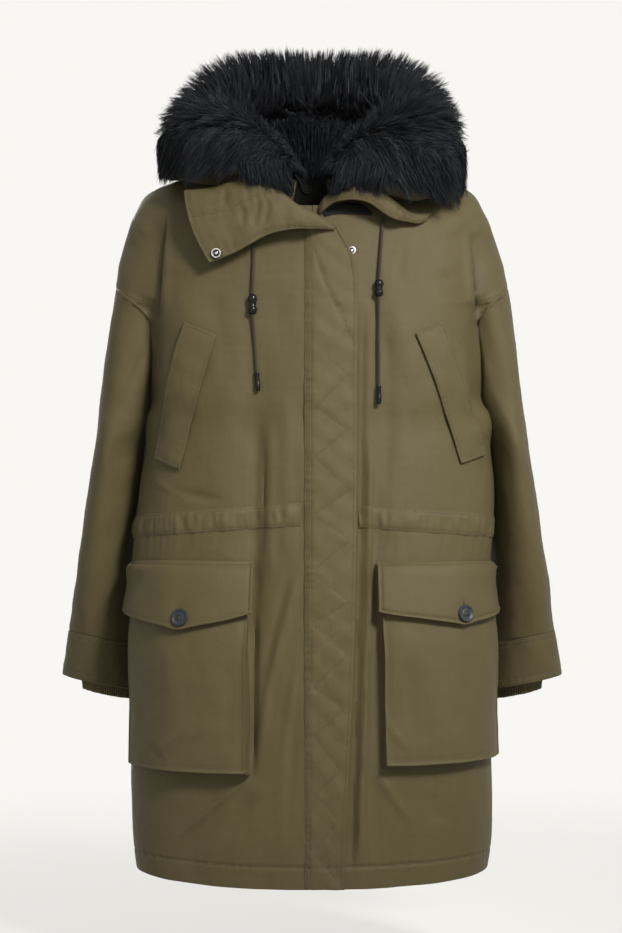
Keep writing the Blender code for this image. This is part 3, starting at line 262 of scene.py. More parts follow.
def ripple(points, size, seed, count=22, stretch=(1, 1, 1)):
    """A smooth uneven field of about -1 to 1 over points, with waves about as long as size."""
    rng = np.random.default_rng(seed)
    total = np.zeros(points.shape[:-1])
    for _ in range(count):
        way = rng.normal(size=3)
        way *= TAU / (size * rng.uniform(0.7, 1.8) * np.linalg.norm(way)) / np.array(stretch)
        total += np.sin(points @ way + rng.uniform(0, TAU))
    return total / math.sqrt(count / 2) / 1.6


def near_line(places, line):
    """How far each 2-D place is from a line, and how far along the line its nearest point is."""
    line = np.array(line, float)
    best = np.full(places.shape[:-1], np.inf)
    along = np.zeros(places.shape[:-1])
    run = 0.0
    for a, b in zip(line, line[1:]):
        step = b - a
        length = np.linalg.norm(step)
        share = np.clip((places - a) @ step / length**2, 0, 1)
        away = np.linalg.norm(places - a - share[..., None] * step, axis=-1)
        closer = away < best
        best = np.where(closer, away, best)
        along = np.where(closer, run + share * length, along)
        run += length
    return best, along, run


CREASE_FADE, CREASE_FADE_MOST = 0.35, 0.06  # share of a crease's length, and metres


def trough(places, line, depth, width):
    """A soft crease along a line, deepest in the middle. A negative depth is a ridge."""
    away, along, run = near_line(places, line)
    ease = eased(np.minimum(along, run - along) / min(CREASE_FADE * run, CREASE_FADE_MOST))
    return -depth * bell(away, width) * ease


PAST_SEAM = 4  # columns read on past a tube's seam
ALL_EDGES = (True, True, True, True)


class Sheet:
    """A dense grid of outer points with its normals. s runs down its rows and t along its columns."""

    def __init__(self, grid, step, wall, around=False, fine_s=(), fine_t=(), edge=None, step_s=None):
        self.wall, self.around = wall, around
        down = np.linalg.norm(np.diff(grid, axis=0), axis=2).mean(axis=1)
        knots_s = np.concatenate([[0], np.cumsum(down)])
        wide = np.concatenate([grid, grid[:, :1]], axis=1) if around else grid
        across = np.linalg.norm(np.diff(wide, axis=1), axis=2).mean(axis=0)
        knots_t = np.concatenate([[0], np.cumsum(across)])
        close = edge or (wall * 0.08, wall * 0.25, wall * 0.5)
        self.s = marks(knots_s[-1], step_s or step, fine_s, close)
        if around:
            count = max(8, round(knots_t[-1] / step))
            self.t = np.linspace(0, knots_t[-1], count + 1)[:-1]
            wide = np.concatenate([grid[:, -PAST_SEAM:], grid, grid[:, : PAST_SEAM + 1]], axis=1)
            before = knots_t[-PAST_SEAM - 1 : -1] - knots_t[-1]
            after = knots_t[1 : PAST_SEAM + 1] + knots_t[-1]
            knots = np.concatenate([before, knots_t, after])
        else:
            self.t = marks(knots_t[-1], step, fine_t, close)
            knots = knots_t
        self.length, self.width, self.knots_t = knots_s[-1], knots_t[-1], knots_t
        read_s, read_t = spline_weights(knots_s, self.s), spline_weights(knots, self.t)
        self.points = np.einsum("ri,ijk,cj->rck", read_s, wide, read_t)
        self.flat = np.stack(np.meshgrid(self.t, self.s), axis=-1)
        self.turned = 1
        self.find_normals()
        middle = self.points.mean(axis=1 if around else (0, 1), keepdims=True)
        self.turn(((self.points - middle) * self.normals).sum())

    def find_normals(self):
        if self.around:
            across = np.roll(self.points, -1, axis=1) - np.roll(self.points, 1, axis=1)
        else:
            across = np.gradient(self.points, axis=1)
        self.normals = unit(np.cross(across, np.gradient(self.points, axis=0))) * self.turned

    def turn(self, agreement):
        """Turns the outside over where it doesn't agree with where it has to face."""
        if agreement < 0:
            self.turned = -self.turned
            self.normals = -self.normals

    def face(self, way):
        self.turn((self.normals @ np.array(way, float)).mean())
        return self

    def shift(self, by):
        self.points = self.points + by
        self.find_normals()

    def move(self, height):
        """Moves each point out along its normal."""
        self.shift(self.normals * height[..., None])

    def edge_distance(self, sides=ALL_EDGES):
        """How far each point is from the nearest of the chosen edges: top, bottom, first, last."""
        s, t = self.flat[..., 1], self.flat[..., 0]
        choices = (s, self.length - s, t, self.width - t)
        return np.minimum.reduce([choice for choice, use in zip(choices, sides) if use])

    def at(self, t, s):
        """Points and normals of the moved sheet at places (t, s)."""
        i = np.clip(np.searchsorted(self.s, s, side="right") - 1, 0, len(self.s) - 2)
        down = ((s - self.s[i]) / (self.s[i + 1] - self.s[i]))[:, None]
        if self.around:
            t = t % self.width
            j = np.clip(np.searchsorted(self.t, t, side="right") - 1, 0, len(self.t) - 1)
            after = (j + 1) % len(self.t)
            right = np.append(self.t, self.width)[j + 1]
        else:
            j = np.clip(np.searchsorted(self.t, t, side="right") - 1, 0, len(self.t) - 2)
            after = j + 1
            right = self.t[after]
        across = ((t - self.t[j]) / (right - self.t[j]))[:, None]

        def read(grid):
            low = grid[i, j] * (1 - across) + grid[i, after] * across
            high = grid[i + 1, j] * (1 - across) + grid[i + 1, after] * across
            return low * (1 - down) + high * down

        return read(self.points), unit(read(self.normals))


def panel(node, rim, size, first, way, step, wall):
    """A solid's outer face as a sheet, from its rows and columns."""
    return Sheet(open_grid(node, rim, *size, first, way), step, wall).face(way)


def level_line(sheet, row, inset=0.0):
    return [(inset, row), (sheet.width - inset, row)]


def weave_attribute(mesh, values):
    attribute = mesh.attributes.new("weave", "FLOAT_VECTOR", "POINT")
    attribute.data.foreach_set("vector", np.ascontiguousarray(values, np.float32).ravel())


def tone_attribute(mesh, values):
    attribute = mesh.attributes.new("tone", "FLOAT", "POINT")
    attribute.data.foreach_set("value", values.astype(np.float32))


def mesh_object(name, points, faces, materials, indices=None, sharp=None):
    mesh = bpy.data.meshes.new(name)
    mesh.from_pydata([tuple(p) for p in points], [], faces)
    for material in materials:
        mesh.materials.append(material)
    if indices is not None:
        mesh.polygons.foreach_set("material_index", np.array(indices, np.int32))
    mesh.shade_smooth()
    if sharp:
        mesh.set_sharp_from_angle(angle=math.radians(sharp))
    obj = bpy.data.objects.new(name, mesh)
    bpy.context.scene.collection.objects.link(obj)
    return obj


def quads_of(ids):
    """The faces between the rows and columns of a grid of point numbers."""
    return np.stack([ids[:-1, :-1], ids[:-1, 1:], ids[1:, 1:], ids[1:, :-1]], axis=-1).reshape(-1, 4)


def wrapped(name, rings, material, sharp=None):
    """A closed round piece over rings of points, with flat ends."""
    ids = np.arange(rings.shape[0] * rings.shape[1]).reshape(rings.shape[:2])
    faces = quads_of(np.concatenate([ids, ids[:, :1]], axis=1)).tolist()
    faces += [ids[0, ::-1].tolist(), ids[-1].tolist()]
    return mesh_object(name, rings.reshape(-1, 3), faces, (material,), sharp=sharp)


def dress(obj, slot_name, *replaced):
    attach(obj, "root")
    if replaced:
        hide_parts(*replaced)
    return obj


EDGE_ROUND = 0.86  # of half the wall's thickness
DEEPER_FROM, DEEPER_OVER = 0.006, 0.012  # from an open edge


def shell(name, sheet, materials, coarse, ends=ALL_EDGES, extra=0.0):
    """A closed wall under a sheet: rounded edges, a rim, and a coarser inside, deeper in its middle."""
    rows, columns = sheet.points.shape[:2]
    edge = sheet.wall / 2
    beside = sheet.edge_distance([end and (i < 2 or not sheet.around) for i, end in enumerate(ends)])
    near = np.clip(1 - beside / edge, 0, 1)
    round_off = (1 - np.sqrt(np.maximum(1 - near**2, 0))) * edge * EDGE_ROUND
    outer = sheet.points - sheet.normals * round_off[..., None]
    beside = sheet.edge_distance([i < 2 or not sheet.around for i in range(4)])
    deeper = extra * np.clip((beside - DEEPER_FROM) / DEEPER_OVER, 0, 1)
    inside = sheet.points - sheet.normals * (sheet.wall - round_off + deeper)[..., None]
    pick_r = sorted({*range(0, rows, coarse), rows - 1})
    pick_c = sorted({*range(0, columns, coarse), *(() if sheet.around else (columns - 1,))})
    inner = inside[np.ix_(pick_r, pick_c)]
    outer_id = np.arange(rows * columns).reshape(rows, columns)
    inner_id = rows * columns + np.arange(inner.shape[0] * inner.shape[1]).reshape(inner.shape[:2])
    faces, kinds = [], []

    def skin(ids, turned, kind):
        wide = np.concatenate([ids, ids[:, :1]], axis=1) if sheet.around else ids
        corners = quads_of(wide)
        faces.extend((corners[:, [0, 3, 2, 1]] if turned else corners).tolist())
        kinds.extend([kind] * len(corners))

    def rim(fine, rough, picks, turned):
        for k in range(len(rough) - 1):
            low, high = picks[k], picks[k + 1]
            middle = (low + high + 1) // 2
            tris = [[fine[j + 1], fine[j], rough[k + (j >= middle)]] for j in range(low, high)]
            tris.append([fine[middle], rough[k], rough[k + 1]])
            faces.extend([tri[::-1] if turned else tri for tri in tris])
            kinds.extend([0] * len(tris))

    turned = sheet.turned < 0
    skin(outer_id, turned, 0)
    skin(inner_id, not turned, len(materials) - 1)
    for row, side in ((0, turned), (-1, not turned)):
        fine, rough, picks = list(outer_id[row]), list(inner_id[row]), list(pick_c)
        if sheet.around:
            fine, rough, picks = fine + fine[:1], rough + rough[:1], picks + [columns]
        rim(fine, rough, picks, side)
    if not sheet.around:
        rim(list(outer_id[:, 0]), list(inner_id[:, 0]), pick_r, not turned)
        rim(list(outer_id[:, -1]), list(inner_id[:, -1]), pick_r, turned)
    weave = np.zeros((rows, columns, 3))
    weave[..., :2] = sheet.flat
    obj = mesh_object(name, [*outer.reshape(-1, 3), *inner.reshape(-1, 3)], faces, materials, kinds, sharp=50)
    weave_attribute(obj.data, [*weave.reshape(-1, 3), *weave[np.ix_(pick_r, pick_c)].reshape(-1, 3)])
    return obj


def cloth(node, sheet, seams=(), slot_name="olive_twill", materials=None, coarse=2, extra=0.0, ends=ALL_EDGES,
          step=0.004, **declared):
    """The cloth that stands for a solid: its wall and its sewn seams."""
    obj = shell(node + "_cloth", sheet, materials or (twill,), coarse, ends, extra)
    dress(obj, slot_name, node)
    for line in seams:
        sew(sheet, line, step=step)


# ---------------------------------------------------------------- materials


def feed(tree, made, inputs):
    """Sets a node's inputs or links them, by their names or numbers."""
    for key, value in inputs.items():
        if isinstance(value, bpy.types.NodeSocket):
            tree.links.new(value, made.inputs[key])
        else:
            made.inputs[key].default_value = value


def node(tree, kind, inputs=None, **settings):
    made = tree.nodes.new(kind)
    for key, value in settings.items():
        setattr(made, key, value)
    feed(tree, made, inputs or {})
    return made


def shader_of(name):
    material = bpy.data.materials.new(name)
    material.use_nodes = True
    tree = material.node_tree
    place = node(tree, "ShaderNodeTexCoord").outputs["Object"]
    return material, tree, tree.nodes["Principled BSDF"], place


def maths(tree, operation, *values):
    return node(tree, "ShaderNodeMath", dict(enumerate(values)), operation=operation).outputs[0]


def weighted(tree, *terms):
    """The sum of values, each times its weight."""
    parts = [value if weight == 1 else maths(tree, "MULTIPLY", value, weight) for value, weight in terms]
    total = parts[0]
    for part in parts[1:]:
        total = maths(tree, "ADD", total, part)
    return total


def noise(tree, vector, scale, detail=3.0, roughness=0.5):
    inputs = {"Vector": vector, "Scale": scale, "Detail": detail, "Roughness": roughness}
    return node(tree, "ShaderNodeTexNoise", inputs).outputs["Fac"]


def bump(tree, height, strength, distance, under=None):
    inputs = {"Height": height, "Strength": strength, "Distance": distance}
    if under is not None:
        inputs["Normal"] = under
    return node(tree, "ShaderNodeBump", inputs).outputs[0]


def ramp(tree, factor, stops):
    made = node(tree, "ShaderNodeValToRGB", {"Fac": factor})
    elements = made.color_ramp.elements
    while len(elements) < len(stops):
        elements.new(0.5)
    for element, (place, colour) in zip(elements, stops):
        element.position = place
        element.color = (*colour, 1.0)
    return made.outputs["Color"]


def cloth_material(name, colour, roughness=0.62, pitch=0.0011, grain=0.22, sheen=0.02, mottle=0.10):
    """A twill: fine diagonal ribs, yarn grain, and a slow uneven tone, in the cloth's own directions."""
    material, tree, shader, place = shader_of(name)
    weave = node(tree, "ShaderNodeAttribute", attribute_name="weave").outputs["Vector"]
    across, down = node(tree, "ShaderNodeSeparateXYZ", {0: weave}).outputs[:2]
    slant = weighted(tree, (across, 1), (down, 0.8), (noise(tree, weave, 900.0, 2.0), 0.35 * pitch))
    ribs = maths(tree, "SINE", maths(tree, "MULTIPLY", slant, TAU / pitch))
    yarn = noise(tree, weave, 1500.0, 2.0, 0.6)
    slow = noise(tree, place, 7.0, 4.0, 0.55)
    stretched = node(tree, "ShaderNodeMapping", {"Vector": weave, "Scale": (1.0, 0.07, 1.0)}).outputs[0]
    slubs = noise(tree, stretched, 260.0, 3.0, 0.6)
    uneven = maths(tree, "SUBTRACT", slubs, 0.5)
    tone = weighted(tree, (slow, mottle), (yarn, grain), (ribs, 0.03), (uneven, 0.16))
    middle = (mottle + grain) / 2
    dark, light = tuple(c * 0.80 for c in colour), tuple(c * 1.22 for c in colour)
    twilled = bump(tree, weighted(tree, (ribs, 0.35), (yarn, 0.9)), 0.35, 0.0004)
    wrinkled = weighted(tree, (noise(tree, place, 30.0, 4.0, 0.55), 1), (slubs, 0.10))
    feed(tree, shader, {
        "Base Color": ramp(tree, tone, [(max(0.0, middle - 0.14), dark), (middle + 0.14, light)]),
        "Normal": bump(tree, wrinkled, 0.30, 0.004, twilled),
        "Roughness": maths(tree, "ADD", maths(tree, "MULTIPLY", slow, 0.10), roughness - 0.05),
        "Specular IOR Level": 0.16,
        "Sheen Weight": sheen,
        "Sheen Roughness": 0.45,
        "Sheen Tint": (0.75, 0.72, 0.55, 1.0),
    })
    return material


def thread_material():
    material, tree, shader, place = shader_of("olive thread")
    stops = [(0.3, (0.036, 0.029, 0.012)), (0.7, (0.058, 0.047, 0.020))]
    feed(tree, shader, {"Base Color": ramp(tree, noise(tree, place, 240.0, 2.0), stops), "Roughness": 0.55})
    return material


def hard_material(name, colour, roughness, metallic=0.0, gloss=0.5):
    """Moulded plastic or plated metal with faint uneven gloss."""
    material, tree, shader, place = shader_of(name)
    fine = noise(tree, place, 260.0, 4.0, 0.6)
    dark, light = tuple(c * 0.75 for c in colour), tuple(min(1.0, c * 1.3) for c in colour)
    feed(tree, shader, {
        "Base Color": ramp(tree, fine, [(0.3, dark), (0.7, light)]),
        "Roughness": maths(tree, "ADD", maths(tree, "MULTIPLY", fine, 0.16), roughness - 0.08),
        "Normal": bump(tree, fine, 0.08, 0.0002),
        "Metallic": metallic,
        "Specular IOR Level": gloss,
    })
    return material


twill = cloth_material("olive twill", (0.0450, 0.0352, 0.0140))
lining = cloth_material("dark lining", (0.012, 0.0115, 0.009), 0.5, pitch=0.0007, grain=0.12, sheen=0.0)
rib = cloth_material("rib knit", (0.058, 0.047, 0.020), 0.9, pitch=0.0022, grain=0.35, sheen=0.05)
braid = cloth_material("olive braid", (0.017, 0.0145, 0.0085), 0.8, pitch=0.0012, grain=0.3, sheen=0.1)
LINED = (twill, lining)
# Near-black: on the strip under the left collar wing it paints the shade of the gap there; the hang loop uses
# it too.
tape_and_shade = cloth_material("black tape and painted shade", (0.0045, 0.0045, 0.0045), 0.8, pitch=0.0014, grain=0.3, sheen=0.0)
thread = thread_material()
plastic = hard_material("black plastic", (0.004, 0.004, 0.0045), 0.24, gloss=0.14)
metal = hard_material("snap metal", (0.46, 0.46, 0.45), 0.26, 1.0)
slate = hard_material("slate button", (0.0095, 0.0115, 0.0145), 0.45, gloss=0.25)


# ---------------------------------------------------------------- stitching


stitched_points, stitched_faces = [], []
STITCH_SHARES, STITCH_SIZES = np.array([0.0, 0.5, 1.0]), np.array([0.35, 1.0, 0.35])
STITCH_SIDES = 4
STITCH_SUNK = 0.30  # share of its thickness
PUCKER_SPREAD = 0.007  # from a seam


def stitches(points, normals, pitch=0.0038, share=0.72, radius=0.00058):
    """Lays a run of short stitches along a line of surface points."""
    points, normals = np.array(points), np.array(normals)
    run = run_of(points)
    count = int(run[-1] / pitch)
    if count < 1:
        return
    at = np.arange(count)[:, None] * pitch + STITCH_SHARES * pitch * share
    place, normal = read_line(at, run, points), unit(read_line(at, run, normals))
    side = unit(np.cross(unit(place[:, -1:] - place[:, :1]), normal))
    middle = place + normal * radius * (1 - 2 * STITCH_SUNK)
    size = STITCH_SIZES[:, None] * radius
    angles = TAU * np.arange(STITCH_SIDES) / STITCH_SIDES
    rings = [middle + (side * math.cos(angle) + normal * math.sin(angle)) * size for angle in angles]
    ids = np.arange(len(STITCH_SHARES) * STITCH_SIDES).reshape(-1, STITCH_SIDES)
    sides = quads_of(np.concatenate([ids, ids[:, :1]], axis=1))
    one = np.concatenate([sides, ids[:1, ::-1], ids[-1:]])
    starts = len(stitched_points) + np.arange(count)[:, None, None] * ids.size
    stitched_points.extend(np.stack(rings, axis=2).reshape(-1, 3).tolist())
    stitched_faces.extend((starts + one).reshape(-1, 4).tolist())


def sew(sheet, line, step=0.004, **settings):
    """Stitches along a line of (t, s) places of a sheet."""
    line = np.array(line, float)
    run = run_of(line)
    at = np.linspace(0, run[-1], max(2, int(run[-1] / step) + 1))
    stitches(*sheet.at(np.interp(at, run, line[:, 0]), np.interp(at, run, line[:, 1])), **settings)


def groove(sheet, line, depth, width, pucker, wave=0.011, seed=0):
    """The height of a sewn line: a narrow groove, with small uneven puckers beside it."""
    away, along, _ = near_line(sheet.flat, line)
    rng = np.random.default_rng(seed)
    phase = along / wave * TAU + 1.8 * np.sin(along / wave * 0.83 + rng.uniform(0, 6))
    strength = 0.55 + 0.45 * np.sin(along / wave * 0.57 + rng.uniform(0, 6))
    puckers = pucker * strength * np.sin(phase) * bell(away, PUCKER_SPREAD)
    return puckers - depth * bell(away, width)


# ---------------------------------------------------------------- body panels

FRONT_X = 0.00135  # metres for a step across or down the front
MIDDLE_COLUMN, MIDDLE_ROW, MIDDLE_Z = 312, 466.5, -0.373
FOLD_GAIN = 1.15


def spot(column, row):
    """A place on the front, from where it shows: steps across from the left, and down."""
    return (column - MIDDLE_COLUMN) * FRONT_X, MIDDLE_Z + (MIDDLE_ROW - row) * FRONT_X


def folds(places, table):
    creases = (trough(places, [spot(*p) for p in line], depth, width) for depth, width, *line in table)
    return FOLD_GAIN * sum(creases)


# Creases of the fronts: depth and width in metres, then the places they run through. Ridges are negative.
RIGHT_FOLDS = (
    (0.0034, 0.0090, (258, 400), (256, 480), (254, 560), (255, 625)),
    (0.0016, 0.0020, (264, 434), (263, 500), (262, 564)),
    (-0.0022, 0.0070, (271, 410), (271, 500), (271, 590)),
    (-0.0018, 0.0110, (286, 380), (286, 480), (288, 570)),
    (0.0016, 0.0160, (240, 400), (238, 500)),
    (-0.0026, 0.0055, (302, 560), (286, 620), (268, 690), (258, 762)),
    (0.0022, 0.0060, (292, 560), (276, 620), (259, 690)),
    (-0.0018, 0.0050, (304, 640), (291, 700), (280, 780)),
    (0.0016, 0.0070, (299, 700), (291, 760), (286, 830)),
    (-0.0040, 0.0042, (256, 774), (231, 792), (197, 822), (166, 852)),
    (0.0030, 0.0100, (262, 788), (240, 816), (214, 848)),
    (-0.0016, 0.0130, (286, 742), (282, 800), (282, 872)),
    (0.0014, 0.0140, (205, 272), (222, 330), (232, 400)),
    (-0.0024, 0.0060, (169, 205), (166, 240), (163, 280), (161, 330)),
    (0.0050, 0.0048, (254, 598), (254, 690), (252, 790)),
    (0.0022, 0.0060, (152, 488), (190, 496), (230, 500)),
    (-0.0018, 0.0050, (142, 478), (170, 492), (196, 500)),
)
LEFT_FOLDS = (
    (0.0048, 0.0055, (363, 300), (362, 420), (361, 500), (359, 600), (356, 720), (350, 882)),
    (-0.0034, 0.0048, (371, 430), (370, 500), (368, 600), (365, 720), (359, 872)),
    (0.0020, 0.0110, (384, 300), (388, 380), (388, 450), (384, 500)),
    (-0.0014, 0.0110, (404, 310), (410, 360), (416, 400)),
    (-0.0026, 0.0050, (367, 540), (372, 620), (377, 690)),
    (0.0020, 0.0080, (372, 760), (376, 820), (378, 870)),
    (-0.0026, 0.0055, (378, 772), (392, 796), (412, 826)),
    (0.0016, 0.0120, (430, 790), (440, 830)),
    (-0.0024, 0.0060, (469, 222), (471, 250), (473, 280), (474, 330)),
    (0.0009, 0.0060, (404, 236), (396, 290)),
    (-0.0009, 0.0060, (414, 236), (408, 290)),
    (-0.0022, 0.0070, (483, 395), (490, 440)),
    (0.0018, 0.0070, (476, 430), (486, 478)),
)
# Where each front folds over its own outer part, from the shoulder to the armhole.
SHOULDER_FOLDS = {
    "right": ((165, 200), (162, 240), (158, 280), (155, 318)),
    "left": ((474, 220), (476, 250), (478, 280), (479, 316)),
}
BACK_FOLDS = (
    (0.0048, 0.013, (372, 300), (366, 420), (364, 560)),
    (-0.0036, 0.014, (350, 360), (346, 480), (350, 600)),
    (0.0042, 0.013, (262, 330), (266, 440), (262, 580)),
    (-0.0030, 0.012, (284, 380), (286, 520)),
    (0.0040, 0.013, (318, 520), (322, 640), (316, 780)),
    (-0.0036, 0.012, (390, 600), (404, 700), (410, 820)),
    (0.0032, 0.012, (236, 610), (222, 720), (214, 830)),
    (-0.0030, 0.012, (200, 600), (190, 720), (188, 820)),
    (0.0028, 0.011, (436, 560), (448, 660), (446, 760)),
    (0.0026, 0.010, (196, 330), (214, 390)),
    (0.0026, 0.010, (430, 330), (410, 392)),
)

FOLDS = {"right": RIGHT_FOLDS, "left": LEFT_FOLDS, "back": BACK_FOLDS}

# How far each side of the body lies in (right) or swells (left), in metres at heights, and how far the
# sleeves widen towards it.
SIDE_SHIFT = {
    "right": (
        (-0.95, 0.0), (-0.90, 0.0005), (-0.80, 0.0040), (-0.70, 0.0065), (-0.62, 0.0050), (-0.56, 0.0045),
        (-0.517, 0.0055), (-0.461, 0.0070), (-0.392, 0.0083), (-0.322, 0.0100), (-0.28, 0.0100),
        (-0.21, 0.0085), (-0.17, 0.0040), (-0.13, 0.0), (0.20, 0.0),
    ),
    "left": (
        (-0.95, 0.0), (-0.88, 0.0), (-0.80, -0.0040), (-0.75, -0.0070), (-0.68, -0.0085), (-0.60, -0.0090),
        (-0.55, -0.0080), (-0.50, -0.0060), (-0.46, 0.0), (-0.42, 0.0055), (-0.385, 0.0085), (-0.345, 0.0090),
        (-0.30, 0.0090), (-0.25, 0.0075), (-0.20, 0.0040), (-0.16, 0.0010), (-0.12, 0.0), (0.20, 0.0),
    ),
}
SLEEVE_IN = {
    "right": (
        (-0.75, 0.0), (-0.60, 0.0), (-0.55, 0.0010), (-0.50, 0.0030), (-0.461, 0.0055), (-0.392, 0.0120),
        (-0.322, 0.0140), (-0.28, 0.0140), (-0.21, 0.0120), (-0.17, 0.0060), (-0.14, 0.0), (0.0, 0.0),
    ),
    "left": (
        (-0.75, 0.0), (-0.46, 0.0), (-0.42, 0.0015), (-0.385, 0.0040), (-0.345, 0.0055), (-0.30, 0.0050),
        (-0.25, 0.0020), (-0.20, 0.0), (0.0, 0.0),
    ),
}
SIDES_FROM, SIDES_OVER = 0.19, 0.05  # from the middle line

PANEL_WALL = 0.0025
PANEL_RIM = PANEL_WALL * 1.45  # edges shorter than this cross the wall
PANEL_ROWS, FRONT_COLUMNS, BACK_COLUMNS = 30, 13, 21
DEEPER = 0.0040  # the lining lies this much further in than the edge is thick
HEM_STITCH, HEM_ZONE = 0.030, (0.024, 0.036, 0.0018)
FOLD_COLUMN, FOLD_HALF, FOLD_CELL = 7, 0.013, 0.0015  # where the cloth is finer for the shoulder fold
OVERLAP_DEPTH, OVERLAP_REACH = 0.0105, 0.020
WAIST, WAIST_GATHER = -0.470, 0.026  # height of the gathered waist, and how far the gathers run
SEAM_CALM = 0.016  # creases end this far from a panel's shoulder and side seams
ARMHOLE_LOW, ARMHOLE_TOP = -0.21, -0.03
RELAX_FROM, RELAX_TOP, RELAX_ROUNDS = 0.185, -0.05, 3
MEET_REACH, SLEEVE_UNDER, SLEEVE_TUCK = 0.050, 0.0025, 0.0009
JOIN_WITHIN, JOIN_REACH, SEAM_LAP = 0.0075, 0.024, 0.0007


def overlap(places, line, side):
    """A fold that lies over what is beyond it: a sharp drop along a line, rising again on its far side."""
    line = np.array(line)
    away, along, run = near_line(places, line)
    near = read_line(along, run_of(line), line)
    beyond = away * np.sign((places - near)[..., 0]) * side
    drop = eased((beyond + 0.0012) / 0.0036) * np.exp(-np.maximum(beyond, 0) / OVERLAP_REACH)
    cleft = 0.45 * bell(beyond - 0.0022, 0.0022)
    return -OVERLAP_DEPTH * (drop + cleft) * eased(along / 0.05) * eased((run - along) / 0.018)


def amount_at(table, heights):
    knots, values = np.array(table).T
    return (spline_weights(knots, heights.ravel()) @ values).reshape(heights.shape)


def fit_sides(sheet):
    """Moves both outer sides of the body as far as the side tables say."""
    x, z = sheet.points[..., 0], sheet.points[..., 2]
    amount = np.where(x < 0, amount_at(SIDE_SHIFT["right"], z), amount_at(SIDE_SHIFT["left"], z))
    sheet.shift(X_WAY * (amount * eased((np.abs(x) - SIDES_FROM) / SIDES_OVER))[..., None])


def panel_height(sheet, table, whole=True):
    """Creases, a slow unevenness, the waist's gathers and the crumple of a panel's cloth."""
    height = folds(sheet.points[..., [0, 2]], table)
    if whole:
        height *= eased(sheet.edge_distance((False, True, True, True)) / SEAM_CALM)
    height += 0.0012 * ripple(sheet.points, 0.16, 3, stretch=(1, 1, 2.4))
    height += 0.0005 * ripple(sheet.points, 0.05, 4, stretch=(1, 1, 1.6))
    gathers = ripple(sheet.points, 0.011, 6, stretch=(1, 1, 6))
    height += 0.0008 * gathers * bell(sheet.points[..., 2] - WAIST, WAIST_GATHER)
    return height + 0.00018 * ripple(sheet.points, 0.017, 5)


def relaxed(grid):
    """Adds rows of knots beside the armhole, and evens them out apart from those of the edge."""
    rows = []
    for row, after in zip(grid[:-1], grid[1:]):
        rows.append(row)
        if ARMHOLE_LOW < row[-1, 2] < ARMHOLE_TOP:
            rows += [row * 0.7 + after * 0.3, row * 0.3 + after * 0.7]
    grid = np.array([*rows, grid[-1]])
    for _ in range(RELAX_ROUNDS):
        inner = grid[1:-1, 1:-1]
        mean = (grid[:-2, 1:-1] + grid[2:, 1:-1] + grid[1:-1, :-2] + grid[1:-1, 2:]) / 4
        x, z = np.abs(inner[..., :1]), inner[..., 2:]
        near = (x > RELAX_FROM) & (z > ARMHOLE_LOW) & (z < RELAX_TOP)
        grid[1:-1, 1:-1] = np.where(near, (inner + mean) / 2, inner)
    return grid


def nearest_on(line, places):
    """The nearest point of a line to each place, and how far away it is."""
    steps = np.diff(line, axis=0)
    share = ((places[:, None] - line[:-1]) * steps).sum(-1) / ((steps**2).sum(-1) + 1e-12)
    near = line[:-1] + steps * np.clip(share, 0, 1)[..., None]
    away = np.linalg.norm(places[:, None] - near, axis=-1)
    picked = np.arange(len(places)), away.argmin(axis=1)
    return near[picked], away[picked]


def meet(sleeve, edges):
    """Draws a sleeve's top onto the edges of its armhole, a little inside them."""
    top = sleeve.points[0]
    found = [nearest_on(line, top) for line in edges]
    away = np.stack([one[1] for one in found])
    shift = np.stack([one[0] for one in found])[away.argmin(axis=0), np.arange(len(top))] - top
    for _ in range(4):
        shift = (np.roll(shift, 1, axis=0) + 2 * shift + np.roll(shift, -1, axis=0)) / 4
    upward = unit(sleeve.points[0] - sleeve.points[6]) * SLEEVE_UNDER
    s = sleeve.flat[..., 1]
    sleeve.shift(shift * eased(1 - s / MEET_REACH)[..., None] + upward * eased(1 - s / 0.012)[..., None])
    sleeve.move(-SLEEVE_TUCK * bell(s, 0.006))


def join(first, first_column, second, second_column):
    """Brings the edges of two sheets together along their seam, and each a little past the other."""
    lines = first.points[:, first_column].copy(), second.points[:, second_column].copy()
    for sheet, column, own, other in ((first, first_column, *lines), (second, second_column, *lines[::-1])):
        near, away = nearest_on(other, own)
        inner = sheet.points[:, 5 if column == 0 else -6]
        shift = (near - own) / 2 + unit(own - inner) * SEAM_LAP
        shift *= eased((JOIN_WITHIN - away) / 0.0025)[:, None]
        across = sheet.flat[..., 0] if column == 0 else sheet.width - sheet.flat[..., 0]
        sheet.shift(shift[:, None] * eased(1 - across / JOIN_REACH)[..., None])


def lay_panel(sheet, word, calm_edges, seed, fold=0.0):
    height = panel_height(sheet, FOLDS[word]) + fold
    height += groove(sheet, level_line(sheet, HEM_STITCH), 0.0013, 0.0022, 0.0007, seed=seed)
    sheet.move(height * eased(sheet.edge_distance(calm_edges) / SEAM_CALM))
    fit_sides(sheet)


fronts = {}
for word, side in SIDES:
    first = (-0.245, 0, -0.930) if side < 0 else (0, -0.14, -0.945)
    grid = open_grid(word + "_front", PANEL_RIM, PANEL_ROWS, FRONT_COLUMNS, first, FORWARD)
    if side < 0:
        grid = grid[:, ::-1]
    elif abs(grid[0, -1, 0]) < abs(grid[0, 0, 0]) or grid[0, 0, 2] > -0.5:
        grid = grid[::-1, ::-1]
    fold_at = np.cumsum(np.linalg.norm(np.diff(grid, axis=1), axis=2).mean(axis=0))[FOLD_COLUMN]
    fold_zone = (fold_at - FOLD_HALF, fold_at + FOLD_HALF, FOLD_CELL)
    sheet = Sheet(relaxed(grid), FRONT_CELL, PANEL_WALL, fine_s=(HEM_ZONE,), fine_t=(fold_zone,))
    fold_line = [spot(*p) for p in SHOULDER_FOLDS[word]]
    fold = overlap(sheet.points[..., [0, 2]], fold_line, side)
    lay_panel(sheet.face(FORWARD), word, (False, False, False, True), 1 + side, fold)
    fronts[word] = sheet
back_grid = open_grid("back", PANEL_RIM, PANEL_ROWS, BACK_COLUMNS, (0.245, 0, -0.930), REARWARD)
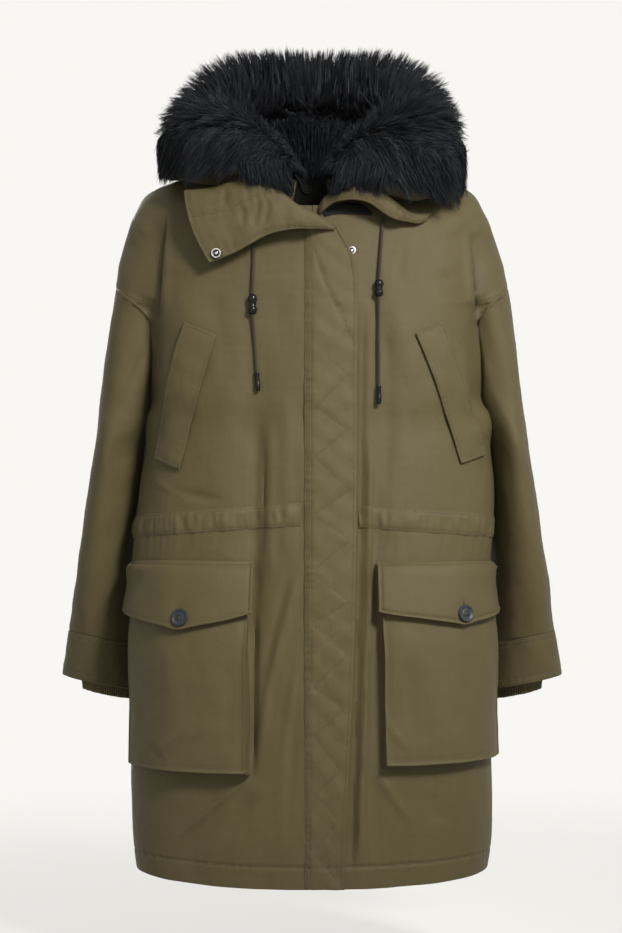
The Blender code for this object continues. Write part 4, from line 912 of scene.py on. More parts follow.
back = Sheet(relaxed(back_grid), BACK_CELL, PANEL_WALL, fine_s=(HEM_ZONE,)).face(REARWARD)
lay_panel(back, "back", (False, False, True, True), 4)
back_side = {}
for word, side in SIDES:
    ends = back.points[len(back.points) // 2, [0, -1], 0] * side
    back_side[word] = 0 if ends[0] > ends[1] else -1
    join(fronts[word], -1, back, back_side[word])
for word, sheet in fronts.items():
    cloth(word + "_front", sheet, [level_line(sheet, HEM_STITCH, 0.002)], materials=LINED, coarse=3,
          extra=DEEPER, flat=(0.37, 1.00), held="hung", area=0.326, rests_on=["back"])
cloth("back", back, [level_line(back, HEM_STITCH, 0.002)], materials=LINED, coarse=3, extra=DEEPER,
      flat=(0.70, 1.02), held="hung", area=0.63, rests_on=["left_front", "right_front"])


def tree_of(sheets):
    points, faces = [], []
    for sheet in sheets:
        ids = len(points) + np.arange(sheet.s.size * sheet.t.size).reshape(sheet.s.size, sheet.t.size)
        points.extend(sheet.points.reshape(-1, 3).tolist())
        faces.extend(quads_of(ids).tolist())
    return BVHTree.FromPolygons(points, faces)


front_tree = tree_of(fronts.values())


def on_front(x, z, lift):
    """The outer face of the fronts where x and z meet it, moved out."""
    hit, normal, _, _ = front_tree.ray_cast(Vector((x, -1, z)), Vector((0, 1, 0)))
    if hit is None:
        hit, normal, _, _ = front_tree.find_nearest(Vector((x, -0.1, z)))
    return np.array(hit + normal * (-lift if normal.y > 0 else lift))


# ---------------------------------------------------------------- sleeves, bands and cuffs

BAND_WALL, CUFF_WALL = 0.0033, 0.0030
CUFF_RIBS = 72

for word, side in SIDES:
    sleeve = Sheet(ring_grid(word + "_sleeve", 0.0036), CELL, PANEL_WALL, around=True)
    s = sleeve.flat[..., 1]
    height = 0.0016 * ripple(sleeve.points, 0.11, 11 + side, stretch=(1, 1, 2.6))
    height += 0.0007 * ripple(sleeve.points, 0.045, 13 + side, stretch=(1, 1, 1.4))
    height += 0.0002 * ripple(sleeve.points, 0.016, 15)
    sleeve.move(height * np.clip(s / 0.004, 0, 1) * np.clip((sleeve.length - s) / 0.004, 0, 1))
    x = np.abs(sleeve.points[..., 0])
    outer, inner = x.max(axis=1)[:, None], x.min(axis=1)[:, None]
    inward = eased(((outer + inner) / 2 - x) / ((outer - inner) / 2))
    sleeve.shift(X_WAY * -side * (amount_at(SLEEVE_IN[word], sleeve.points[..., 2]) * inward)[..., None])
    meet(sleeve, [fronts[word].points[:, -1], back.points[:, back_side[word]]])
    cloth(word + "_sleeve", sleeve, [level_line(sleeve, 0.0045)], materials=LINED, coarse=3, extra=DEEPER,
          step=0.003, flat=(0.44, 0.50), held="hung", area=0.165, rests_on=[word + "_front", "back"])

    band = Sheet(ring_grid(word + "_sleeve_band", 0.0048), 0.0026, BAND_WALL, around=True)
    rows = [level_line(band, row) for row in (0.0030, 0.0090, band.length - 0.0100)]
    height = 0.0005 * ripple(band.points, 0.03, 21 + side)
    for index, row in enumerate(rows):
        height += groove(band, row, 0.0007, 0.0016, 0.0003, seed=30 + index)
    band.move(height)
    cloth(word + "_sleeve_band", band, rows, materials=LINED, step=0.003,
          flat=(0.36, 0.068), held="hung", rests_on=[word + "_sleeve"])

    cuff = Sheet(ring_grid(word + "_knit_cuff", 0.0052), 0.0011, CUFF_WALL, around=True, step_s=0.0030)
    ribs = 0.0007 * np.sin(cuff.flat[..., 0] / cuff.width * TAU * CUFF_RIBS)
    cuff.move(ribs + 0.0006 * ripple(cuff.points, 0.02, 41 + side))
    cloth(word + "_knit_cuff", cuff, slot_name="rib_knit", materials=(rib,), coarse=4,
          flat=(0.27, 0.060), held="stretched", rests_on=[word + "_sleeve_band"])


# ---------------------------------------------------------------- storm flap

FLAP_WALL = 0.0036
QUILT = 0.0378  # height of one slanted run of stitching
QUILT_FROM, QUILT_SHORT = 0.012, 0.16  # from the hem, and from the top
flap = panel("storm_flap", 0.0068, (47, 5), (-0.011, -0.144, -0.944), FORWARD, 0.0026, FLAP_WALL)
t, s = flap.flat[..., 0], flap.flat[..., 1]
zigzag, height_at = [], QUILT_FROM
while height_at < flap.length - QUILT_SHORT:
    turn = len(zigzag)
    zigzag.append((flap.width * (0.19 if turn % 2 else 0.86) + 0.003 * math.sin(turn * 2.7), height_at))
    height_at += QUILT * (1 + 0.22 * math.sin(turn * 1.9))
away, along, _ = near_line(flap.flat, zigzag)
crossed = near_line(flap.flat, [(flap.width * 1.05 - t_at, s_at) for t_at, s_at in zigzag])[0]
quilt = 0.0006 * (1 - bell(away, 0.009)) - 0.0005 * bell(away, 0.0018)
quilt -= 0.0003 * bell(crossed, 0.0022) * (0.6 + 0.4 * np.sin(s / 0.13))
quilt += 0.00035 * ripple(np.stack([along, away * 0.3, 0 * away], axis=-1), 0.012, 50) * bell(away, 0.006)
quilt += 0.0007 * ripple(flap.points, 0.055, 51, stretch=(1, 1, 1.2))
quilt *= np.clip((flap.width * 0.93 - t) / 0.004, 0, 1) * np.clip((t - flap.width * 0.12) / 0.004, 0, 1)
arc = [(flap.width * share, flap.length - down)
       for share, down in ((0.18, 0.030), (0.42, 0.085), (0.72, 0.130), (0.92, 0.165))]
quilt += groove(flap, arc, 0.0012, 0.003, 0.0005, seed=52)
SEWN_ROWS, EDGE_ROW = (0.0018, 0.0080), flap.width - 0.0042
for row in SEWN_ROWS:
    quilt += groove(flap, [(row, 0), (row, flap.length)], 0.0009, 0.0018, 0.0003, seed=53)
quilt += groove(flap, [(EDGE_ROW, 0), (EDGE_ROW, flap.length)], 0.0006, 0.0016, 0.0002, seed=54)
hem_line = level_line(flap, HEM_STITCH)
quilt += groove(flap, hem_line, 0.0009, 0.002, 0.0003, seed=55)
quilt += 0.0022 * bell(flap.width - t, 0.0055) - 0.0024 * bell(t, 0.0045)
creases = folds(flap.points[..., [0, 2]], FOLDS["right"] + FOLDS["left"])
flap.move(quilt + np.maximum(creases, -0.001))
sew(flap, zigzag, pitch=0.0040)
rows = [[(row, 0.002), (row, flap.length - 0.004)] for row in (*SEWN_ROWS, EDGE_ROW)]
cloth("storm_flap", flap, [arc, *rows, hem_line], flat=(0.072, 0.93), held="hung",
      rests_on=["right_front", "left_front"])


# ---------------------------------------------------------------- welts, channels and pockets


def edged(sheet, inset, seed):
    """Seams at one distance inside the four edges, and the height of their grooves."""
    high_t, high_s = sheet.width - inset, sheet.length - inset
    lines = [
        [(inset, inset), (high_t, inset)],
        [(inset, high_s), (high_t, high_s)],
        [(inset, inset), (inset, high_s)],
        [(high_t, inset), (high_t, high_s)],
    ]
    grooves = (groove(sheet, line, 0.0006, 0.0016, 0.0002, seed=seed + k) for k, line in enumerate(lines))
    return lines, sum(grooves)


for (word, side), first in zip(SIDES, ((-0.130, -0.123, -0.194), (0.141, -0.121, -0.192))):
    welt = panel(word + "_chest_welt", 0.0044, (9, 4), first, FORWARD, 0.0028, 0.0030)
    seams, height = edged(welt, 0.0040, 60 + side)
    height += panel_height(welt, FOLDS[word], False)
    welt.move(height + 0.0004 * ripple(welt.points, 0.03, 61 + side))
    fit_sides(welt)
    cloth(word + "_chest_welt", welt, seams, flat=(0.048, 0.205), held="laid", rests_on=[word + "_front"])

# The waist channel's parts: columns and first corner of the solid, facing, length, and what each lies on.
CHANNELS = {
    "right": (13, (-0.015, -0.140, -0.453), FORWARD, 0.29, "right_front"),
    "left": (11, (0.065, -0.134, -0.457), FORWARD, 0.23, "left_front"),
    "back": (21, (0.256, 0.002, -0.472), REARWARD, 0.62, "back"),
}
CHANNEL_SEAM = 0.0026
for word, (columns, first, way, long, under) in CHANNELS.items():
    channel = panel(word + "_waist_channel", 0.0022, (3, columns), first, way, 0.0027, 0.0015)
    t, s = channel.flat[..., 0], channel.flat[..., 1]
    puckers = ripple(np.stack([t, s * 0.25, 0 * s], axis=-1), 0.010, 70 + columns)
    height = (0.0012 * puckers + 0.0006) * bell(s - channel.length / 2, 0.010)
    height -= 0.0012 * bell(channel.edge_distance((True, True, False, False)), 0.0024) + 0.0004
    rows = (CHANNEL_SEAM, channel.length - CHANNEL_SEAM)
    for row in rows:
        height += groove(channel, level_line(channel, row), 0.0008, 0.0018, 0.0005, wave=0.009, seed=71)
    channel.move(height + panel_height(channel, FOLDS[word], False))
    fit_sides(channel)
    cloth(word + "_waist_channel", channel, [level_line(channel, row, 0.001) for row in rows],
          flat=(long, 0.031), held="laid", rests_on=[under])

POCKET_FLAPS = {"right": (10, (-0.077, -0.135, -0.502)), "left": (11, (0.087, -0.133, -0.502))}
BAG_DEPTH, BAG_MOUTH_DEPTH, BAG_ROUND, BAG_ROWS = 0.0195, 0.0095, 0.009, 6
BAG_EDGE = (0.0003, 0.0008, 0.0016, 0.0028, 0.0042, 0.0056, 0.0072, 0.0088)
GUSSET_SIDES = (False, True, True, True)
POCKET_TOP, BAG_MOUTH_LOW = -0.502, -0.53
POCKET_PRESS = {"right": 0.0115, "left": 0.0060}  # how much less a pocket stands off at its outer side


def plate_grid(word):
    """The points of a pocket's front plate: its open mouth's, then those within its gusset."""
    points, skin = outer_skin(word + "_pocket_bag", 0.0035, FORWARD)
    rim = set(max(rims_of(skin), key=len))
    inside = [v for v in edges_of(skin) if v not in rim]
    columns = len(inside) // (BAG_ROWS - 1)
    mouth = [v for v in rim if points[v][2] > BAG_MOUTH_LOW]
    mouth = sorted(mouth, key=lambda v: points[v][0] ** 2 + points[v][1] ** 2)[-columns:]
    inside = sorted(inside, key=lambda v: -points[v][2])
    rows = [mouth] + [inside[k * columns : (k + 1) * columns] for k in range(BAG_ROWS - 1)]
    outward = [sorted(row, key=lambda v: math.atan2(abs(points[v][0]), 0.1 - points[v][1])) for row in rows]
    return np.array([points[row] for row in outward])


def press(sheet, word, share):
    """How far a pocket piece lies in at its outer side, where it wraps round the body."""
    lower = eased((POCKET_TOP - sheet.points[..., 2]) / 0.035)
    return POCKET_PRESS[word] * eased((share - 0.45) / 0.55) * (0.25 + 0.75 * lower)


def draw_in(sheet, share, top, low):
    """Moves a pocket's outer end in, less at its top than lower down."""
    amount = top + (low - top) * eased((-0.500 - sheet.points[..., 2]) / 0.060)
    sheet.shift(-X_WAY * (amount * eased((share - 0.60) / 0.40))[..., None])


def gusset(sheet, depth):
    """Turns a plate's sides and lower edge in towards the panel, with a soft round."""
    away = np.clip(sheet.edge_distance(GUSSET_SIDES) / BAG_ROUND, 0, 1)
    sheet.move(-depth * (1 - (1 - (1 - away) ** 3) ** (1 / 3)))


BAG_FOLDS = {
    "right": (
        (-0.0016, 0.0060, (200, 716), (172, 740), (138, 764)),
        (0.0016, 0.0070, (206, 730), (180, 752), (160, 768)),
        (0.0014, 0.0140, (236, 640), (232, 700), (226, 762)),
        (0.0016, 0.0050, (140, 748), (152, 754), (166, 768)),
        (-0.0014, 0.0140, (170, 640), (166, 700)),
    ),
    "left": (
        (0.0014, 0.0120, (402, 640), (410, 690), (408, 742)),
        (-0.0012, 0.0140, (430, 650), (438, 700), (438, 750)),
        (0.0012, 0.0120, (476, 650), (468, 700), (456, 752)),
        (-0.0012, 0.0060, (380, 700), (392, 730), (412, 754)),
    ),
}
cover_trees = {}
for word, side in SIDES:
    bag = Sheet(plate_grid(word), 0.0026, 0.0020, edge=BAG_EDGE).face(FORWARD)
    share, beside = bag.flat[..., 0] / bag.width, bag.edge_distance(GUSSET_SIDES)
    height = 0.0007 * ripple(bag.points, 0.09, 80 + side) + 0.0003 * ripple(bag.points, 0.03, 82)
    height += folds(bag.points[..., [0, 2]], BAG_FOLDS[word])
    height += 0.0013 * bell(beside - 0.0040, 0.0020) - 0.0011 * bell(beside - 0.0085, 0.0018)
    pressed = press(bag, word, share)
    bag.move(height - pressed)
    if side > 0:
        draw_in(bag, share, 0.0030, 0.0030)
    deepen = np.clip(bag.flat[..., 1] / bag.length * 2.5, 0, 1)
    gusset(bag, BAG_MOUTH_DEPTH + (BAG_DEPTH - BAG_MOUTH_DEPTH) * deepen - pressed)
    fit_sides(bag)
    cloth(word + "_pocket_bag", bag, ends=(True, False, False, False),
          flat=(0.250, 0.300), held="laid", rests_on=[word + "_front"])

    columns, first = POCKET_FLAPS[word]
    cover = panel(word + "_pocket_flap", 0.0036, (5, columns), first, FORWARD, 0.0026, PANEL_WALL)
    share, beside = cover.flat[..., 0] / cover.width, cover.edge_distance()
    if abs(cover.points[0, -1, 0]) <= abs(cover.points[0, 0, 0]):
        share = 1 - share
    seams, height = edged(cover, 0.0050, 90 + side)
    height += 0.0016 * bell(cover.flat[..., 1], 0.0030) + 0.0005 * ripple(cover.points, 0.045, 92 + side)
    height += 0.0008 * bell(beside - 0.0020, 0.0020) - 0.0005 * bell(beside - 0.0052, 0.0016)
    cover.move(height - press(cover, word, share))
    fit_sides(cover)
    if side > 0:
        draw_in(cover, share, 0.0035, 0.0075)
    cover_trees[word] = tree_of([cover])
    cloth(word + "_pocket_flap", cover, seams,
          flat=(0.225, 0.095), held="hung", rests_on=[word + "_front"], area=0.0185)


# ---------------------------------------------------------------- hood cloth, facing and collar wings

hood_grid = open_grid("hood_shell", 0.0029, 31, 9, (-0.05, -0.10, 0.03), REARWARD)
hood = Sheet(hood_grid, 0.0036, PANEL_WALL).face(REARWARD)
seams = [[(hood.width * across, hood.length * down) for across, down in zip((0.12, 0.5, 1.0), gore)]
         for gore in ((0.42, 0.41, 0.39), (0.58, 0.59, 0.61))]
seams.append([(hood.width - 0.010, 0), (hood.width - 0.010, hood.length)])
height = 0.0016 * ripple(hood.points, 0.07, 101) + 0.0006 * ripple(hood.points, 0.028, 102)
for index, line in enumerate(seams):
    height += groove(hood, line, 0.0012, 0.0022, 0.0006, seed=103 + index)
hood.move(height)
cloth("hood_shell", hood, seams, materials=LINED, coarse=3,
      flat=(1.05, 0.23), held="gathered", rests_on=["back"], area=0.16)

facing = panel("back_neck_facing", 0.0022, (4, 7), (-0.058, 0.059, 0.043), FORWARD, 0.0030, 0.0015)
facing.move(0.0004 * ripple(facing.points, 0.03, 103))
cloth("back_neck_facing", facing, flat=(0.125, 0.060), held="laid", rests_on=["back"])

# Wing stations: a point on the upper edge and one on the lower edge, how far the upper edge returns
# to the rear, and how far the middle bows sideways.
RIGHT_WING = (
    (-0.1750, -0.106, 0.0030, -0.1396, -0.128, -0.0972, 0.026, -0.007),
    (-0.1223, -0.120, 0.0095, -0.0975, -0.131, -0.0799, 0.030, -0.002),
    (-0.0678, -0.130, 0.0170, -0.0568, -0.134, -0.0590, 0.030, 0.0),
    (-0.0400, -0.131, -0.0010, -0.0330, -0.135, -0.0535, 0.020, 0.0),
    (-0.0163, -0.132, -0.0216, -0.0122, -0.134, -0.0515, 0.010, 0.0),
    (0.0108, -0.126, -0.0339, 0.0095, -0.127, -0.0515, 0.006, 0.0),
    (0.0310, -0.1169, -0.0475, 0.0310, -0.1169, -0.0520, 0.003, 0.0),
)
LEFT_WING = (
    (0.0088, -0.1099, -0.0205, 0.0088, -0.1099, -0.0300, 0.004, 0.0),
    (0.0145, -0.114, -0.0095, 0.0135, -0.116, -0.0275, 0.006, 0.0),
    (0.0243, -0.120, -0.0015, 0.0243, -0.122, -0.0186, 0.010, 0.0),
    (0.0446, -0.126, 0.0095, 0.0446, -0.128, -0.0126, 0.014, 0.0),
    (0.0648, -0.127, 0.0140, 0.0648, -0.130, -0.0132, 0.010, 0.0),
    (0.0783, -0.126, 0.0120, 0.0783, -0.129, -0.0173, 0.008, 0.0),
    (0.0986, -0.121, -0.0020, 0.0986, -0.124, -0.0308, 0.008, 0.0),
    (0.1188, -0.114, -0.0170, 0.1170, -0.117, -0.0389, 0.006, 0.0),
    (0.1323, -0.105, -0.0270, 0.1323, -0.107, -0.0409, 0.004, 0.0),
    (0.1458, -0.096, -0.0290, 0.1458, -0.098, -0.0416, 0.004, 0.0),
    (0.1620, -0.084, -0.0260, 0.1590, -0.087, -0.0345, 0.004, 0.0),
)

FACE_SHARES = (0.0, 0.3, 0.65, 0.92, 1.0)
WING_SEAMS = {  # in shares of a wing's length and of its face's height, apart from that of its lower edge
    "right": [[(0.022, 0.5), (0.022, 0.95)], [(0.03, 0.64), (0.25, 0.62), (0.48, 0.70), (0.62, 0.90)]],
    "left": [[(0.04, 0.86), (0.5, 0.80), (0.97, 0.80)]],
}
WING_CREASES = {  # depth and width, then the lines
    "right": (
        0.0022, 0.0042,
        [(0.22, 0.64), (0.24, 0.80), (0.27, 0.98)], [(0.36, 0.20), (0.43, 0.48), (0.46, 0.66)],
        [(0.44, 0.14), (0.50, 0.44), (0.52, 0.70)], [(0.30, 0.30), (0.35, 0.60)],
    ),
    "left": (
        0.0012, 0.0040, [(0.34, 0.1), (0.38, 0.9)], [(0.60, 0.1), (0.57, 0.9)], [(0.72, 0.1), (0.70, 0.9)],
    ),
}
WING_CUT = {"right": ((0.26, 0.14), 0.020), "left": ((0.20, 0.045), 0.0056)}  # flat size and area


def wing_grid(stations):
    """Lines of points from the lower edge up and over the upper edge to the rear."""
    lines = []
    for *edges, back_by, bow in stations:
        top, low = np.array(edges[:3]), np.array(edges[3:])
        out = np.array([bow, -0.004 * min(1.0, (top - low)[2] / 0.02), 0.0])
        face = [low + (top - low) * k + out * 4 * k * (1 - k) for k in FACE_SHARES[:-1]]
        over = [top + (0.0, back_by * k, rise) for k, rise in ((0.12, -0.0003), (0.5, 0.001), (1.0, -0.002))]
        lines.append(face + over)
    return np.array(lines)


def wing_line(wing, line):
    """Places on a wing from shares of its length and of its face's height."""
    return [(np.interp(up, FACE_SHARES, wing.knots_t[:5]), along * wing.length) for along, up in line]


for (word, side), stations in zip(SIDES, (RIGHT_WING, LEFT_WING)):
    wing = Sheet(wing_grid(stations), 0.0022, 0.0035).face(FORWARD)
    inset = 0.0040 / wing.knots_t[4]
    seams = [[(0.02, inset), (0.5, inset), (0.99, inset)], *WING_SEAMS[word]]
    if side < 0:
        seams[1] = [(0.022, inset), *seams[1]]
    seams = [wing_line(wing, line) for line in seams]
    height = 0.0009 * ripple(wing.points, 0.045, 110 + side) + 0.0003 * ripple(wing.points, 0.018, 112)
    depth, width, *creases = WING_CREASES[word]
    for line in creases:
        height += trough(wing.flat, wing_line(wing, line), depth, width)
    for index, line in enumerate(seams):
        height += groove(wing, line, 0.0009, 0.0017, 0.0004, seed=113 + index)
    wing.move(height)
    flat, area = WING_CUT[word]
    cloth(word + "_collar_wing", wing, seams, flat=flat, held="folded", rests_on=[word + "_front"], area=area)


# ---------------------------------------------------------------- cords

RIGHT_CORD = (
    (-0.0775, -0.1062, -0.0480), (-0.0785, -0.1088, -0.0640), (-0.0795, -0.1125, -0.0850),
    (-0.0803, -0.1172, -0.1100), (-0.0808, -0.1222, -0.1395), (-0.0806, -0.1246, -0.1665),
    (-0.0790, -0.1239, -0.1900), (-0.0768, -0.1246, -0.2200), (-0.0748, -0.1261, -0.2460),
)
LEFT_CORD = (
    (0.0965, -0.0995, -0.0330), (0.0960, -0.1035, -0.0430), (0.0948, -0.1083, -0.0620),
    (0.0930, -0.1131, -0.0880), (0.0912, -0.1178, -0.1195), (0.0908, -0.1200, -0.1420),
    (0.0906, -0.1193, -0.1700), (0.0905, -0.1219, -0.2050), (0.0907, -0.1231, -0.2350),
    (0.0908, -0.1250, -0.2635),
)
STOPPER_AT = 4
CORD_RADIUS = 0.0020
SIDEWAYS = (0.0, 1.0, 0.0)


def route(points, step):
    """A smooth line through points, and its length."""
    run = run_of(points)
    at = np.linspace(0, run[-1], int(run[-1] / step) + 1)
    return spline_weights(run, at) @ points, run[-1]


def tube(name, line, radius, sides, material, braided, lay):
    """A tube with a braided relief round a line of points."""
    ahead, run = unit(np.gradient(line, axis=0))[:, None], run_of(line)[:, None]
    side = unit(np.cross(ahead, SIDEWAYS))
    angles = TAU * np.arange(sides) / sides
    wave = np.maximum(np.sin(angles * 3 + run / lay * TAU), np.sin(angles * 3 - run / lay * TAU))
    size = (radius * (1 + braided * (wave - 0.6)))[..., None]
    around = side * np.cos(angles)[:, None] + np.cross(ahead, side) * np.sin(angles)[:, None]
    obj = wrapped(name, line[:, None] + around * size, material, sharp=60)
    weave = np.zeros((len(line), sides, 3))
    weave[..., 0] = angles * radius
    weave[..., 1] = run
    weave_attribute(obj.data, weave)
    return obj


def ways_round(way, level):
    """Two ways square to one way and to each other."""
    side = unit(np.cross(way, level))
    return side, np.cross(way, side)


def turned(name, foot, way, ways, profile, radius, material, sides):
    """A turned piece on its foot. Its profile: (share of the radius, height in metres)."""
    angles = TAU * np.arange(sides)[:, None] / sides
    around = ways[0] * np.cos(angles) + ways[1] * np.sin(angles)
    rings = np.array([foot + around * size * radius + way * height for size, height in profile])
    return wrapped(name, rings, material, sharp=35)


def cord_piece(word, piece, node, start, end, profile, radius):
    """A turned plastic piece between two points of a cord. Its profile: (share of the way, of the radius)."""
    long = np.linalg.norm(end - start)
    way = (end - start) / long
    sized = [(size, share * long) for share, size in profile]
    name = f"{word}_drawcord_{piece}"
    obj = turned(name, start, way, ways_round(way, SIDEWAYS), sized, radius, plastic, 28)
    return dress(obj, "black_plastic", f"{word}_{node}")


STOPPER_PROFILE = (
    (0.0, 0.50), (0.02, 0.66), (0.07, 0.84), (0.14, 0.95), (0.24, 1.0), (0.33, 0.98), (0.38, 0.86),
    (0.41, 0.78), (0.62, 0.78), (0.66, 0.90), (0.74, 1.0), (0.84, 0.97), (0.92, 0.86), (0.97, 0.70),
    (1.0, 0.50),
)
TIP_PROFILE = (
    (0.0, 0.78), (0.02, 0.95), (0.05, 1.0), (0.10, 1.0), (0.12, 0.90), (0.20, 0.88), (0.60, 0.92),
    (0.64, 1.0), (0.90, 0.98), (0.96, 0.85), (1.0, 0.45),
)
for word, points in (("right", RIGHT_CORD), ("left", LEFT_CORD)):
    line, length = route(points, 0.0011)
    cord = tube(word + "_drawcord", line, CORD_RADIUS, 14, braid, braided=0.11, lay=0.007)
    dress(cord, "olive_cord", word + "_drawcord_upper", word + "_drawcord_lower")
    above, below, before, last = np.array(points)[[STOPPER_AT, STOPPER_AT + 1, -2, -1]]
    hang = unit(last - before)
    stopper = cord_piece(word, "stopper", "stopper", above, below, STOPPER_PROFILE, 0.0062)
    tip = cord_piece(word, "tip", "cord_tip", last - hang * 0.0005, last + hang * 0.025, TIP_PROFILE, 0.0034)

LOOP = (
    (-0.0150, 0.0350), (-0.0165, 0.0270), (-0.0140, 0.0190), (-0.0070, 0.0155), (0.0000, 0.0190),
    (0.0025, 0.0270), (0.0010, 0.0350),
)
facing_tree = tree_of([facing])
met = [facing_tree.ray_cast(Vector((x, -0.3, z)), Vector(SIDEWAYS))[0] for x, z in LOOP]
line, _ = route(np.array(met) - (0.0, 0.0018, 0.0), 0.0012)
loop = tube("hang_loop_cord", line, 0.0014, 12, tape_and_shade, braided=0.08, lay=0.005)
dress(loop, "olive_cord", "hang_loop")


# ---------------------------------------------------------------- zip tape at the neck, near-black to paint the shade under the left collar wing

# A zip tape on the left front, as wide as the gap under the collar wing's arch and near-black, so that it is
# painted shade for that gap as well as tape.
SHADE_TAPE_LINE = ((324, 213), (334, 208), (347, 206), (360, 207), (372, 212))
SHADE_TAPE_HALVES = (2.0, 4.5, 6.0, 5.5, 1.5)  # half its width along it, in steps of the front
SHADE_TAPE_ROWS, SHADE_TAPE_SHARES = 40, np.linspace(-1, 1, 6)
SHADE_TAPE_LIFTS = (0.0012, 0.0004)  # of its outside and its inside
line = np.array([spot(*p) for p in SHADE_TAPE_LINE])
run = run_of(line)
at = np.linspace(0, run[-1], SHADE_TAPE_ROWS)
places = spline_weights(run, at) @ line
ahead = unit(np.gradient(places, axis=0))
across = np.stack([-ahead[:, 1], ahead[:, 0]], axis=-1) * (np.interp(at, run, SHADE_TAPE_HALVES) * FRONT_X)[:, None]
spots = (places[:, None] + across[:, None] * SHADE_TAPE_SHARES[:, None]).reshape(-1, 2)
ids = np.arange(len(spots)).reshape(SHADE_TAPE_ROWS, -1)
faces = [*quads_of(ids).tolist(), *quads_of(ids + len(spots))[:, ::-1].tolist()]
rim = [*ids[0, :-1], *ids[:-1, -1], *ids[-1, :0:-1], *ids[:0:-1, 0]]
faces += [(b, a, a + len(spots), b + len(spots)) for a, b in zip(rim, rim[1:] + rim[:1])]
points = [on_front(x, z, lift) for lift in SHADE_TAPE_LIFTS for x, z in spots]
shade_tape = mesh_object("left_zip_tape_and_shade", points, faces, (tape_and_shade,))
weave = np.zeros((2, *ids.shape, 3))
weave[..., 0] = SHADE_TAPE_SHARES * 0.006
weave[..., 1] = at[:, None]
weave_attribute(shade_tape.data, weave)
dress(shade_tape, "black_plastic")


# ---------------------------------------------------------------- buttons and snaps

DOWN = (0.0, 0.0, -1.0)
CORNERS = ((-1, -1), (1, -1), (1, 1), (-1, 1))
BUTTON_PROFILE = (
    (0.93, 0.0), (1.0, 0.0006), (1.0, 0.0017), (0.95, 0.0026), (0.88, 0.0028), (0.80, 0.0025), (0.72, 0.0016),
    (0.60, 0.0013), (0.50, 0.0014), (0.44, 0.0017), (0.02, 0.0017),
)
HOLE_SHADE_PROFILE = ((1.0, 0.0), (1.0, 0.00078), (0.5, 0.00082))
SNAP_FOOT = ((0.96, 0.0), (1.0, 0.0003))
SNAP_PROFILE = (  # from here on the heights are shares of a snap's thickness
    (1.0, 0.6), (0.95, 0.92), (0.86, 1.0), (0.76, 0.9), (0.68, 0.5), (0.62, 0.3), (0.30, 0.3), (0.26, 0.6),
    (0.16, 0.75), (0.03, 0.75),
)
SNAP_WELL = ((0.66, 0.36), (0.48, 0.42), (0.29, 0.36))
HOLE_OFF, BUTTONHOLE_HALF = 0.0023, 0.0011


def disc_of(node_name):
    """The middle of a disc's underside, its facing and its thickness, from the solid."""
    points, _ = welded(node_name)
    middle = points.mean(axis=0)
    ways = np.linalg.eigh(np.cov((points - middle).T))[1]
    way = ways[:, 0] * (-1 if ways[1, 0] > 0 else 1)
    heights = (points - middle) @ way
    return middle + way * heights.min(), way, heights.max() - heights.min()


for word, side in SIDES:
    base, way, _ = disc_of(word + "_pocket_button")
    across, up = ways = ways_round(way, DOWN)
    button = turned(word + "_button", base, way, ways, BUTTON_PROFILE, 0.0118, slate, 40)
    dress(button, "slate_button", word + "_pocket_button")
    # Black discs over the four holes paint the shade inside them.
    corners = [base + (across * a + up * b) * HOLE_OFF for a, b in CORNERS]
    for index, corner in enumerate(corners):
        name = f"{word}_button_hole_shade_{index}"
        hole_shade = turned(name, corner + way * 0.0010, way, ways, HOLE_SHADE_PROFILE, 0.00115, plastic, 14)
        dress(hole_shade, "black_plastic")
    for first, last in ((0, 2), (1, 3)):
        ends = [corners[first] + way * 0.0019, corners[last] + way * 0.0019]
        stitches(ends, [way, way], pitch=0.0064, share=1.0, radius=0.00042)
    for offset in (-BUTTONHOLE_HALF, BUTTONHOLE_HALF):
        rises = np.linspace(0.0105, 0.0215, 8) * math.copysign(1, up[2])
        hits = [cover_trees[word].find_nearest(Vector(base + up * rise + across * offset)) for rise in rises]
        normals = [normal * (1 if normal.y < 0 else -1) for _, normal, _, _ in hits]
        stitches([hit[0] for hit in hits], normals, pitch=0.0013, share=1.1, radius=0.00075)

for snap_node, radius in (("collar_snap", 0.0068), ("edge_snap", 0.0052)):
    base, way, thick = disc_of(snap_node)
    ways = ways_round(way, DOWN)
    body, well = ([(size, thick * share) for size, share in profile] for profile in (SNAP_PROFILE, SNAP_WELL))
    snap = turned(snap_node + "_ring", base, way, ways, [*SNAP_FOOT, *body], radius, metal, 40)
    dress(snap, "snap_metal", snap_node)
    dress(turned(snap_node + "_well", base, way, ways, well, radius, plastic, 40), "black_plastic")


# ---------------------------------------------------------------- fur

# The fur's own near-black, and a lighter grey-blue at the top of its tone ramp that paints highlights on the
# glossy locks.
FUR_DARK, FUR_HIGHLIGHT = (0.0016, 0.0017, 0.0021), (0.036, 0.037, 0.040)
NEAR_CLOTH = 0.0065
CORE_ROWS, CORE_SIDES, CORE_SHARE = 84, 48, 0.64
FUR_SEED = 7
LOCKS, STRANDS, FILL, OVER, HANG, FRINGE, ENDS = 3000, 60500, 9000, 15000, 9000, 5000, 7000
UPRIGHT = 0.0155  # how much the hair on top stands up
NECK = np.array([0.0, -0.010, 0.100])
LEVEL = (1, 1, 0)


